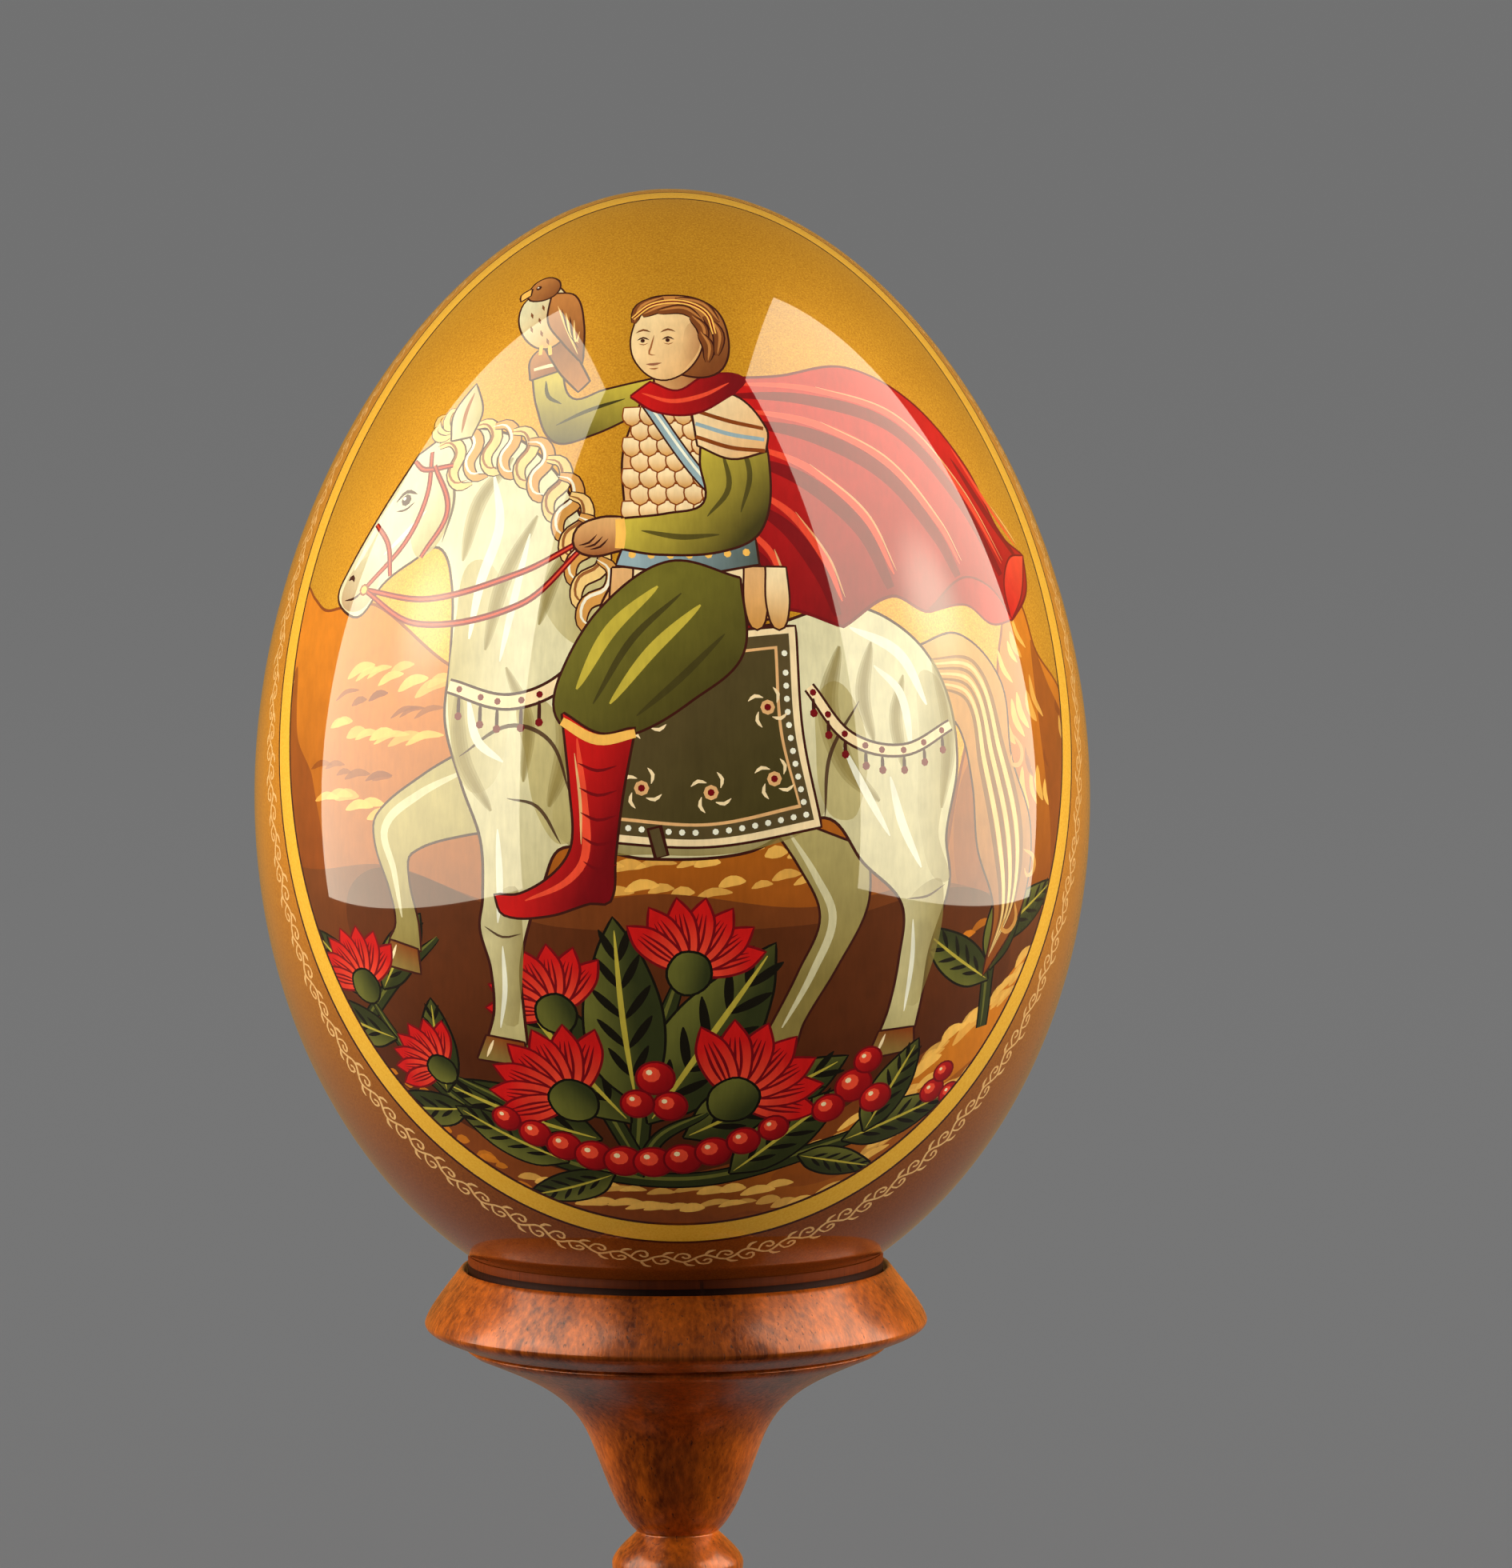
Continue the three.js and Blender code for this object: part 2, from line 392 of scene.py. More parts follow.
def paint_stems(stems):
    """Stems with a dark edge and a light along them."""
    for path, width in stems:
        stroke(path, width + 0.4, LEAF_DARK, ends=(0.9, 0.25))
        stroke(path, width, LEAF, ends=(0.9, 0.2))
        lifted = [(x - 0.12, y + 0.14 * width) for x, y in path]
        stroke(lifted, width * 0.3, LEAF_LIGHT)


def paint_back_plants():
    """What grows behind the horse's legs."""
    paint_stems([([(-30, -24), (-25, -17), (-21, -13)], 1.1), ([(-4, -34), (-3, -24), (0, -14)], 1.5),
                 ([(-4, -33), (-8, -24), (-10, -18)], 1.3), ([(28, -24), (28.5, -16), (31, -10)], 1.2)])
    for at, turn, size in [((-28, -20), 150, 0.95), ((-27, -19), 62, 0.9), ((-4.5, -29), 128, 1.75),
                           ((-3, -29), 58, 1.95), ((-4, -27), 96, 1.7), ((0, -30.5), 27, 1.55),
                           ((-7, -31), 166, 1.5), ((28.2, -19), 140, 1.0), ((28.8, -15), 24, 0.95),
                           ((28.4, -18), 70, 1.1)]:
        paint_leaf(at, turn, size)
    paint_flower((0.4, -14.6), 78, 1.25)
    paint_flower((-10.6, -18.6), 118, 1.2)


paint_back_plants()
print("marks with the plants at the back:", len(marks))

# %% [markdown]
# ## The horse
# A pale horse takes up the middle of the picture. The far legs go down first, then the tail, the body and
# the near legs, so that each part covers the one behind it. Soft olive washes model the body, and white
# strokes light it.

# %% Far legs and tail
def paint_hoof(toe, heel, tilt=0.0):
    """A hoof between the ground points of its toe and its heel."""
    (tx, ty), (hx, hy) = toe, heel
    shape([(tx, ty), (tx, ty), (tx + 0.9, ty + 2.4), (tx + 0.9, ty + 2.4), (hx - 0.2, hy + 2.2 + tilt),
           (hx - 0.2, hy + 2.2 + tilt), (hx, hy), (hx, hy)], CREAM_DEEP, to=OCHRE_DARK,
          along=(toe, (tx + 1, ty + 3)))
    stroke([(tx + 0.8, ty + 0.3), (tx + 1.5, ty + 2.1)], 0.3, PEACH_LIGHT)


def paint_far_legs():
    fore = [(-17.5, 4), (-17.5, 4), (-22.5, 1.2), (-27.3, -2.6), (-27.4, -5.2), (-25.8, -9.2),
            (-25.2, -12.2), (-26, -14), (-26, -14), (-22.8, -14.4), (-22.8, -14.4), (-23, -11.8),
            (-23.9, -8), (-23.6, -5.6), (-18, -3.5), (-13, -3), (-13, -3)]
    hind = [(6, -1), (6, -1), (9.4, -6), (11.2, -10.4), (9.4, -15), (7.2, -19.6), (6.1, -21.8),
            (6.1, -21.8), (9.2, -21.8), (9.2, -21.8), (9.8, -19.6), (12.6, -14.8), (15.2, -9.8),
            (15.4, -5), (15.4, -5)]
    for leg in (fore, hind):
        shape(leg, CREAM_SHADE, to=CREAM_DEEP, along=((0, -1), (0, -16)))
    stroke([(-18, 2), (-23, -0.5), (-26.4, -3.6), (-25.4, -7.4), (-24.6, -11.6)], 0.8, CREAM, cover=0.8)
    stroke([(8.4, -3), (10.8, -7), (12.2, -10.6), (10.6, -15), (8, -20)], 0.7, CREAM, cover=0.8)
    paint_hoof((-26.8, -16.4), (-22.9, -16.6))
    paint_hoof((5, -24), (9, -24))


def paint_tail():
    tail = [(21, 12), (21, 12), (26, 13.2), (30.6, 9), (31.2, 2), (33.6, -5), (32.4, -12.5),
            (27.6, -18.4), (27.6, -18.4), (28.6, -12), (26.6, -6), (26.2, 0), (25, 5), (22.4, 7),
            (22.4, 7)]
    shape(tail, TAN, to=OCHRE_DARK, along=((24, 12), (29, -18)))
    for k in range(7):
        t = k / 6
        lock = [(22 + 0.6 * t, 11 - 2.4 * t), (27.6 - 1.4 * t, 10.6 - 3.4 * t),
                (30.2 - 3.0 * t, 3 - 1.5 * t), (32.2 - 3.6 * t, -5 - 0.8 * t),
                (31.4 - 2.0 * t, -11.5 - t), (28.6 - 0.6 * t, -16 - 0.8 * t)]
        stroke(lock, 0.55, TAN_LIGHT if k % 2 else INK, cover=0.95 if k % 2 else 0.6)
    for x, y, turn in [(32.6, -7, -60), (31.8, 4, -80), (31.4, -12, -110)]:
        curl = [(0, 0), (1.6, 0.8), (2.8, 0.2), (2.6, -0.9), (1.7, -0.8)]
        stroke(placed(curl, (x, y), turn), 0.5, TAN)


paint_far_legs()
paint_tail()
print("marks with the far legs and the tail:", len(marks))

# %% Body and near legs
def paint_body():
    body = [(-26.4, 31.6), (-30.2, 26), (-33.6, 20.6), (-34.6, 18.2), (-33, 16.4), (-31, 16),
            (-28.6, 18.8), (-25.4, 20.6), (-22.4, 21.6), (-20.6, 18), (-20.2, 11.5), (-20.4, 6),
            (-18.6, 0.6), (-16.8, -4), (-16.6, -9), (-16.9, -11.6), (-16, -15), (-15.8, -19),
            (-16.5, -21.8), (-16.5, -21.8), (-13.2, -21.8), (-13.2, -21.8), (-13.4, -19), (-13.6, -15),
            (-13, -11.6), (-11.6, -7.4), (-9.8, -4.2), (-3, -5), (5, -4.6), (11.6, -2), (15, -6),
            (18.6, -10), (18.4, -15), (17.6, -19.4), (16.8, -21.8), (16.8, -21.8), (20.1, -21.8),
            (20.1, -21.8), (20.6, -19), (21.2, -14.6), (23.2, -8.6), (22.9, -4.4), (24.4, 2), (23.6, 8.4),
            (20.4, 13), (14.6, 15.4), (7.4, 13.6), (0.6, 13.2), (-5, 15.6), (-8, 21.4), (-11.4, 27.4),
            (-16.4, 31.8), (-22.4, 33.2)]
    shape(body, CREAM, to=CREAM_SHADE, along=((0, 6), (0, -26)), edge=0.26)


paint_body()
print("marks with the horse's body:", len(marks))

# %% Light and shade on the body
def paint_body_shading():
    wash([(-20, 15), (-18.5, 20), (-15, 16), (-14.5, 7), (-17, 0), (-20, 5)], CREAM_SHADE,
         along=((-20, 8), (-14, 8)), cover=0.9, cover_end=0)
    wash([(-10, -3.6), (-2, -4.8), (6, -4.4), (11.6, -1.6), (10, 2.6), (0, 0.6), (-9, 1.6)], CREAM_DEEP,
         along=((0, -5), (0, 2)), cover=0.85, cover_end=0)
    wash([(-13.6, 8), (-10.4, 6.6), (-8.4, 0), (-9.6, -4), (-12, -1.6), (-13, 3)], CREAM_SHADE, cover=0.8)
    wash([(12.4, 9), (15.4, 5), (14.4, -2), (12, -1.8), (11, 3)], CREAM_SHADE, cover=0.8)
    wash([(22, 10), (23.8, 3), (22.2, -4), (22.8, -8.6), (20.4, -4), (20.6, 4)], CREAM_DEEP,
         along=((24, 2), (19.5, 2)), cover=0.75, cover_end=0)
    wash([(-8.6, 21.6), (-5.4, 16), (-8, 12), (-12.6, 17), (-13.6, 24.6)], CREAM_SHADE,
         along=((-7, 18), (-13, 20)), cover=0.85, cover_end=0)
    wash([(-25, 21), (-22.6, 22), (-21.4, 26), (-23.2, 29), (-25.8, 25.6)], CREAM_SHADE,
         along=((-22.4, 22), (-25.6, 26)), cover=0.9, cover_end=0.1)
    wash([(-33.2, 20.4), (-30.2, 21.8), (-29.2, 18.8), (-31.2, 16.4), (-34, 17.4)], SKIN_SHADE,
         along=((-33.4, 16.6), (-30, 21.4)), cover=0.65, cover_end=0.05)
    wash([(-15.8, -9), (-13.6, -8), (-13.8, -20), (-15.2, -20)], CREAM_DEEP,
         along=((-13.4, -12), (-15.8, -12)), cover=0.7, cover_end=0)
    wash([(19, -10), (22.6, -8.6), (20.4, -19.4), (18.8, -19)], CREAM_DEEP,
         along=((22, -12), (18.6, -12)), cover=0.7, cover_end=0)
    crescents = [([(13.5, 12), (12.2, 7), (13.6, 2), (16.5, -1)], 2.0),
                 ([(16.5, 12.4), (15.4, 8), (16.2, 4)], 1.4),
                 ([(22.6, 11), (23.8, 5), (22.6, -2)], 1.6),
                 ([(-19.4, 9), (-18.8, 3), (-16, -1.5)], 1.6),
                 ([(-10.4, 9), (-9.6, 4), (-11, -1)], 1.8),
                 ([(-15, 10.5), (-13, 6), (-13.2, 1)], 1.3),
                 ([(-19.8, 20), (-18.6, 25.5), (-15.6, 29.4)], 1.6),
                 ([(-17, 12), (-15.6, 18), (-12.8, 23.6)], 1.5),
                 ([(-12.2, 14), (-11, 18), (-9.6, 21)], 1.3),
                 ([(19.4, 9.6), (18.4, 6), (19, 1.4)], 1.3)]
    for path, width in crescents:
        soft_stroke(path, width, CREAM_DEEP, 0.44)
    lines = [([(-19, 3), (-14.6, 5.6), (-11, 4.4), (-9.2, 0)], 0.36),
             ([(-10, -4), (-12, -1), (-14.6, -0.4)], 0.3),
             ([(11.6, -2), (12.2, 3), (15, 7.4)], 0.34),
             ([(-22.2, 22), (-21.4, 26), (-22.4, 30)], 0.3),
             ([(-13.4, -11.8), (-15, -12.2), (-16.6, -11.4)], 0.22),
             ([(22.8, -8.8), (21, -9.6), (19, -9.6)], 0.22)]
    for path, width in lines:
        stroke(path, width, INK, cover=0.9)
    lights = [([(-18.6, 13), (-17.8, 18), (-16.4, 23), (-17.4, 28)], 1.0),
              ([(-15.6, 11), (-14.4, 17), (-13.4, 22)], 0.7),
              ([(-18.4, 8), (-17.4, 4.4), (-15, 2.6)], 0.8),
              ([(14.6, 13.6), (19.2, 11.4), (21.6, 7)], 1.0),
              ([(16.6, 10.4), (19, 8), (19.8, 3)], 0.8),
              ([(13.4, 3.6), (15.2, 0), (17.4, -4)], 0.7),
              ([(17.6, 1), (18.6, -3), (20.4, -7)], 0.8),
              ([(-15.4, -3), (-15.2, -8), (-15.4, -11)], 0.6),
              ([(-15, -13), (-14.9, -17), (-15.4, -20.6)], 0.45),
              ([(19.6, -11.5), (19.6, -15), (19, -20)], 0.45),
              ([(-28.8, 27.4), (-31, 23.6), (-32.8, 20.6)], 0.7),
              ([(-7.8, 3), (-2, 1.6), (5, 2.2)], 0.6),
              ([(-24.4, 25.4), (-26.6, 23.4), (-29, 21.6)], 0.5)]
    for path, width in lights:
        stroke(path, width, WHITE, cover=0.9)
    paint_hoof((-17.6, -24), (-13.2, -24))
    paint_hoof((15.8, -24), (20.2, -24))


paint_body_shading()
print("marks with the light and shade:", len(marks))

# %% [markdown]
# ## The cloak
# The red cloak is the brightest area of the sheet, so its folds get three tones: a dark fold, the plain
# red, and a thin warm light beside it. It lies on the horse's back and behind the mane, so it comes
# between them.

# %% Cloak
def paint_cloak():
    back = [(-2.6, 35.4), (3.4, 36.2), (10, 37), (17.6, 39.2), (25, 37), (31, 31), (34.4, 24), (38, 22.4),
            (38, 22.4), (37, 18.4), (33.6, 15.2), (33.6, 15.2), (31, 18), (27.4, 18.6), (23, 15.4),
            (19, 16.6), (14, 13.8), (14, 13.8), (8.6, 15.2), (4, 13.4), (2, 22), (0, 30)]
    shape(back, RED, to=RED_DARK, along=((18, 34), (16, 10)), ink=RED_DARK, edge=0.28)
    folds = [([(4, 34.6), (13, 34.8), (22, 33.2), (28.6, 27), (33, 19.6)], 1.5),
             ([(5, 32), (13, 31), (20, 28), (25, 22.4), (26.8, 18.8)], 1.7),
             ([(5.4, 28.6), (11.4, 26.6), (16.6, 22.4), (19, 17.2)], 1.6),
             ([(5.6, 24.6), (9.6, 22), (12.4, 18), (13.6, 14.6)], 1.4),
             ([(5, 21), (7.4, 18.6), (8.4, 15.6)], 1.1), ([(29, 31.4), (33, 25.6), (36.4, 22)], 0.9)]
    for path, width in folds:
        stroke(path, width, RED_DARK, ends=(0.1, 0.5), cover=0.85)
        lit = [(x + 0.5, y + 1.25) for x, y in path]
        stroke(lit, width * 0.55, RED_LIGHT, cover=0.9)
        stroke([(x + 0.3, y + 0.35) for x, y in lit[1:]], 0.22, PEACH, cover=0.8)
    turned_edge = [(33.6, 15.2), (33.6, 15.2), (36, 18), (38, 22.4), (38, 22.4), (35.2, 21.6),
                   (33.4, 18.6)]
    shape(turned_edge, RED_LIGHT, to=RED, along=((37, 22), (33, 16)), ink=RED_DARK)
    hem = [(23, 15.4), (23, 15.4), (27.4, 18.6), (31, 18), (33.6, 15.2), (33.6, 15.2), (30.4, 14.6),
           (27.4, 16.2)]
    shape(hem, RED_DARK, to=RED, along=((24, 15), (33, 16)), ink=RED_DARK)


paint_cloak()
print("marks with the cloak:", len(marks))

# %% [markdown]
# ## Mane and harness
# The mane is one lock that is placed again and again down the crest, in two tones by turns. The straps
# and the saddle cloth are wider strokes and washes in dark and light pairs, which read as edged leather
# and braid from a distance.

# %% Mane and head of the horse
def paint_mane():
    crest = [(-24, 32), (-20, 33.4), (-15.4, 31.8), (-11.2, 27.6), (-8.2, 21.8), (-6, 17)]
    fall = [(0, 0), (1.5, -0.5), (1.9, -2.4), (0.4, -4.0), (0.6, -5.8), (2.0, -6.4)]
    for k, (x, y) in enumerate(spaced(crest, 13)):
        turn = 26 - 4.2 * k
        lock = placed(fall, (x, y), turn, 0.95)
        stroke(lock, 1.5, INK, ends=(0.5, 0.2))
        stroke(lock, 1.15, TAN if k % 2 else TAN_LIGHT, ends=(0.5, 0.15))
        stroke(placed(fall, (x - 0.2, y), turn, 0.86), 0.3, WHITE if k % 2 else OCHRE_DARK, cover=0.9)
    curl = [(0, 0), (1.6, 0.8), (3.4, 0.4), (4.4, -1.0), (3.6, -1.8)]
    for turn, size in [(120, 0.62), (150, 0.7), (176, 0.6)]:
        forelock = placed(curl, (-22.4, 33.2), turn, size)
        stroke(forelock, 1.0, INK)
        stroke(forelock, 0.74, TAN_LIGHT)


def paint_horse_head():
    shape([(-22.6, 32.4), (-22.6, 32.4), (-22.8, 35.4), (-20.8, 38.4), (-20.8, 38.4), (-19.6, 35),
           (-20.4, 32.4), (-20.4, 32.4)], CREAM, to=CREAM_SHADE, along=((-22.8, 34), (-19.6, 34)))
    stroke([(-21.6, 33), (-21.4, 35.4), (-20.8, 37.4)], 0.45, SKIN_SHADE)
    stroke([(-28.4, 26.9), (-27.2, 27.8), (-25.8, 27.3)], 0.4, INK)
    dot((-27.1, 26.9), 0.62, INK)
    dot((-27.35, 27.1), 0.2, WHITE)
    stroke([(-28.2, 25.9), (-27, 25.9), (-26, 26.5)], 0.24, INK)
    stroke([(-33.4, 19.6), (-32.9, 19.9), (-32.6, 19.4)], 0.5, INK)
    stroke([(-33.6, 17.6), (-32.2, 17.7), (-31, 18.4)], 0.26, INK)


paint_mane()
paint_horse_head()
print("marks with the horse's head:", len(marks))

# %% Saddle cloth and straps
def paint_saddle_cloth():
    def edge(inset):
        return [(-6.6 + inset, 13.4 - inset), (-6.6 + inset, 13.4 - inset), (-6.4 + inset, 5),
                (-7.4 + 1.1 * inset, -3.6 + inset), (-7.4 + 1.1 * inset, -3.6 + inset), (2, -4.1 + inset),
                (11.2 - inset, -2.8 + inset), (11.2 - inset, -2.8 + inset), (9.8 - inset, 5),
                (9.6 - inset, 13.6 - inset), (9.6 - inset, 13.6 - inset), (1, 13 - inset)]
    shape(edge(0), PEACH_LIGHT)
    wash(edge(0.55), CLOTH)
    wash(edge(1.6), PEACH)
    wash(edge(1.85), CLOTH, to=OLIVE_DARK, along=((-6, 10), (10, -3)))
    row = [(-5.4, 11), (-5.5, 4), (-6.1, -2.5), (-6.1, -2.5), (2, -3), (10, -1.8), (10, -1.8), (8.8, 5),
           (8.6, 11.4)]
    for spot in spaced(row, 40):
        dot(spot, 0.26, WHITE)
    for x, y in [(-3.4, 0.6), (2.2, 0.2), (7.4, 1.2), (-3, 6.2), (7, 7)]:
        dot((x, y), 0.62, PEACH)
        dot((x, y), 0.3, RED_DARK)
        for turn in range(45, 405, 90):
            stroke(placed([(0.8, -0.3), (1.4, 0.1), (1.5, 0.8)], (x, y), turn), 0.3, PEACH_LIGHT)


def paint_harness():
    straps = [[(-24.8, 31.6), (-24.6, 27), (-26.4, 22.6), (-31, 18.4)],
              [(-30.6, 25), (-28.6, 22.6), (-27.8, 19.4)],
              [(-26.8, 31), (-25.4, 29.8), (-22, 29.6)],
              [(-24.2, 30), (-22, 25), (-24.4, 20.8)],
              [(-31, 18.4), (-23, 16.8), (-14, 18.6), (-8.4, 21.2)],
              [(-31, 18.4), (-24, 14.6), (-14, 15.8), (-8.4, 20.6)]]
    for path in straps:
        stroke(path, 0.62, RED_DARK, ends=(0.8, 0.8))
        stroke(path, 0.2, RED_LIGHT, ends=(0.8, 0.8), cover=0.8)
    dot((-31, 18.4), 0.62, OCHRE_DARK)
    dot((-31, 18.4), 0.4, OCHRE_LIGHT)
    collar = [(-6.6, 14.4), (-9.6, 9.6), (-14.6, 7.6), (-20.3, 9)]
    breeching = [(10.6, 8.6), (14, 4.4), (19, 3.2), (24, 5.2)]
    for path, dark, light in ((collar, 1.5, 1.0), (breeching, 1.2, 0.75)):
        stroke(path, dark, INK, ends=(0.9, 0.9))
        stroke(path, light, PEACH_LIGHT, ends=(0.9, 0.9))
    for path, count, drop in ((collar, 9, 2.3), (breeching, 8, 1.7)):
        for x, y in spaced(path, count, inset=0.5):
            dot((x, y), 0.3, RED_DARK)
            stroke([(x, y - 0.5), (x, y - drop)], 0.34, INK, ends=(0.5, 0.9))
            dot((x, y - drop), 0.36, RED_DARK)
    stroke([(-2.4, -2.5), (-1.8, -5)], 1.3, INK, ends=(1, 1))
    stroke([(-2.4, -2.7), (-1.8, -4.9)], 0.8, CLOTH, ends=(1, 1))


paint_saddle_cloth()
paint_harness()
print("marks with the harness:", len(marks))

# %% [markdown]
# ## The rider
# The rider sits upright with a hawk on one fist and the reins in the other hand. The far arm goes down
# first and the head last. The face is a few calm strokes: at this scale more of them would only blur.

# %% Far arm and hawk
def paint_far_arm():
    sleeve = [(-3.4, 33), (-3.4, 33), (-8, 31), (-11.6, 30.6), (-13.6, 34.4), (-14.4, 38), (-14.4, 38),
              (-11.6, 38.6), (-11.6, 38.6), (-10.2, 34.8), (-7, 35.4), (-2, 36.4), (-2, 36.4)]
    shape(sleeve, OLIVE_LIGHT, to=OLIVE_DARK, along=((-10, 37), (-11, 30)))
    for path in ([(-5, 34.4), (-8.6, 33.4), (-11.6, 32.2)], [(-11.2, 34.4), (-12.6, 35.4), (-13, 37.2)]):
        stroke(path, 0.4, OLIVE_DARK)
    shape([(-14.6, 37.6), (-14.6, 37.6), (-14.8, 40), (-13.4, 41.2), (-11.6, 40.6), (-11.3, 38.3),
           (-11.3, 38.3)], OCHRE_DARK, to=HAIR_LIGHT, along=((-11.4, 38), (-14.4, 41)))
    stroke([(-14.4, 38.7), (-12.8, 38.9), (-11.4, 38.9)], 0.4, PEACH_LIGHT, ends=(0.8, 0.8))


def paint_hawk():
    tail = [(-13.6, 41.6), (-13.6, 41.6), (-11.6, 38), (-9.6, 35.6), (-9.6, 35.6), (-8.6, 36.6),
            (-8.6, 36.6), (-10.2, 40), (-11.4, 43.4)]
    shape(tail, HAIR, to=HAIR_LIGHT, along=((-12, 42), (-9, 36)))
    body = [(-15.4, 49.4), (-16.8, 47.6), (-16.6, 44.6), (-14.8, 41.8), (-12.8, 41.2), (-11, 43.2),
            (-11.2, 46.4), (-12.6, 49.2), (-14, 50.2)]
    shape(body, CREAM, to=TAN, along=((-16, 47), (-11, 43)))
    wing = [(-13.4, 48.6), (-13.4, 48.6), (-10.8, 47.6), (-9.6, 43.6), (-9.4, 38.8), (-9.4, 38.8),
            (-11.6, 41.6), (-13.4, 44.6)]
    shape(wing, HAIR_LIGHT, to=HAIR, along=((-12, 48), (-9.6, 39)))
    for k in range(5):
        stroke([(-12.6 + 0.5 * k, 46.6 - 0.6 * k), (-11.4 + 0.3 * k, 43.4 - 0.5 * k),
                (-9.9, 39.8 + 0.7 * k)], 0.24, INK if k % 2 else TAN_LIGHT)
    for x, y in [(-15.6, 46.4), (-14.6, 45.4), (-15.4, 44.4), (-14.2, 43.6), (-13.4, 42.4),
                 (-14.4, 47.2)]:
        stroke([(x, y), (x + 0.3, y - 0.9)], 0.32, HAIR)
    shape([(-16.2, 48.8), (-15.8, 50.8), (-14.2, 51.4), (-12.8, 50.2), (-13, 48.6), (-14.6, 48)],
          HAIR_LIGHT, to=HAIR, along=((-16, 51), (-13, 48)))
    shape([(-16.1, 50.2), (-16.1, 50.2), (-17.2, 49.6), (-17.1, 48.7), (-17.1, 48.7), (-16.1, 49.2),
           (-16.1, 49.2)], OCHRE_LIGHT)
    dot((-15.2, 50.1), 0.36, INK)
    dot((-15.3, 50.2), 0.12, WHITE)
    stroke([(-13.9, 41.6), (-13.9, 40.4)], 0.4, OCHRE_LIGHT, ends=(0.9, 0.9))
    stroke([(-13, 41.4), (-12.8, 40.2)], 0.4, OCHRE_LIGHT, ends=(0.9, 0.9))


paint_far_arm()
paint_hawk()
print("marks with the hawk:", len(marks))

# %% Coat
def paint_scales():
    """Rows of small round plates, the lowest row first."""
    plate = [(-0.75, 0.8), (-0.75, 0.8), (-0.8, -0.3), (0, -1.0), (0.8, -0.3), (0.75, 0.8), (0.75, 0.8)]
    for row in reversed(range(8)):
        for k in range(7):
            at = (-4.3 + 1.6 * k + 0.8 * (row % 2), 32.6 - 1.5 * row)
            if at[0] < 5.7:
                shape(placed(plate, at), PEACH_LIGHT, to=TAN, along=placed([(0, 0.4), (0, -1)], at),
                      ink=OCHRE_DARK, edge=0.14)


def paint_coat():
    coat = [(-3.4, 34), (-3.4, 34), (-5, 29), (-4.8, 24), (-4.4, 20.6), (-6.8, 15.4), (-6.8, 15.4),
            (-2, 14), (3.6, 13.6), (8.6, 14.6), (8.6, 14.6), (6.2, 20.6), (6.6, 26), (6, 32), (3.6, 35),
            (3.6, 35), (0, 33.6)]
    shape(coat, PEACH, to=TAN, along=((-4, 30), (7, 22)))
    paint_scales()
    wash([(3.2, 34), (6, 31), (6.4, 24), (6.2, 20.8), (3.6, 20.8), (3.4, 27)], SKIN_SHADE,
         along=((6.6, 27), (3, 27)), cover=0.7, cover_end=0)
    for k in range(8):
        x = -5.9 + 1.9 * k
        shape([(x, 18.6), (x, 18.6), (x + 1.7, 18.6), (x + 1.7, 18.6), (x + 1.75, 15.2), (x + 0.85, 13.4),
               (x - 0.05, 15.2)], PEACH_LIGHT if k % 2 else PEACH, to=TAN, along=((x, 18), (x, 13.4)),
              edge=0.18)
    belt = [(-4.7, 21), (-4.7, 21), (1, 20.2), (6.5, 21), (6.5, 21), (6.7, 18.9), (6.7, 18.9), (1, 18.1),
            (-5.5, 18.9), (-5.5, 18.9)]
    shape(belt, BLUE_GREY, to=LEAF, along=((-4, 20), (9, 19)))
    for k in range(7):
        dot((-4.2 + 1.65 * k, 19.75 - 0.1 * k + 0.02 * k * k), 0.34, OCHRE_LIGHT)
    for width, colour in ((1.3, INK), (0.95, BLUE_GREY)):
        stroke([(-3, 34), (1.6, 27), (6.4, 22)], width, colour, ends=(1, 1))
    stroke([(-2.8, 33.8), (1.7, 27.1), (6.3, 22.2)], 0.25, WHITE, ends=(1, 1))


paint_coat()
print("marks with the coat:", len(marks))

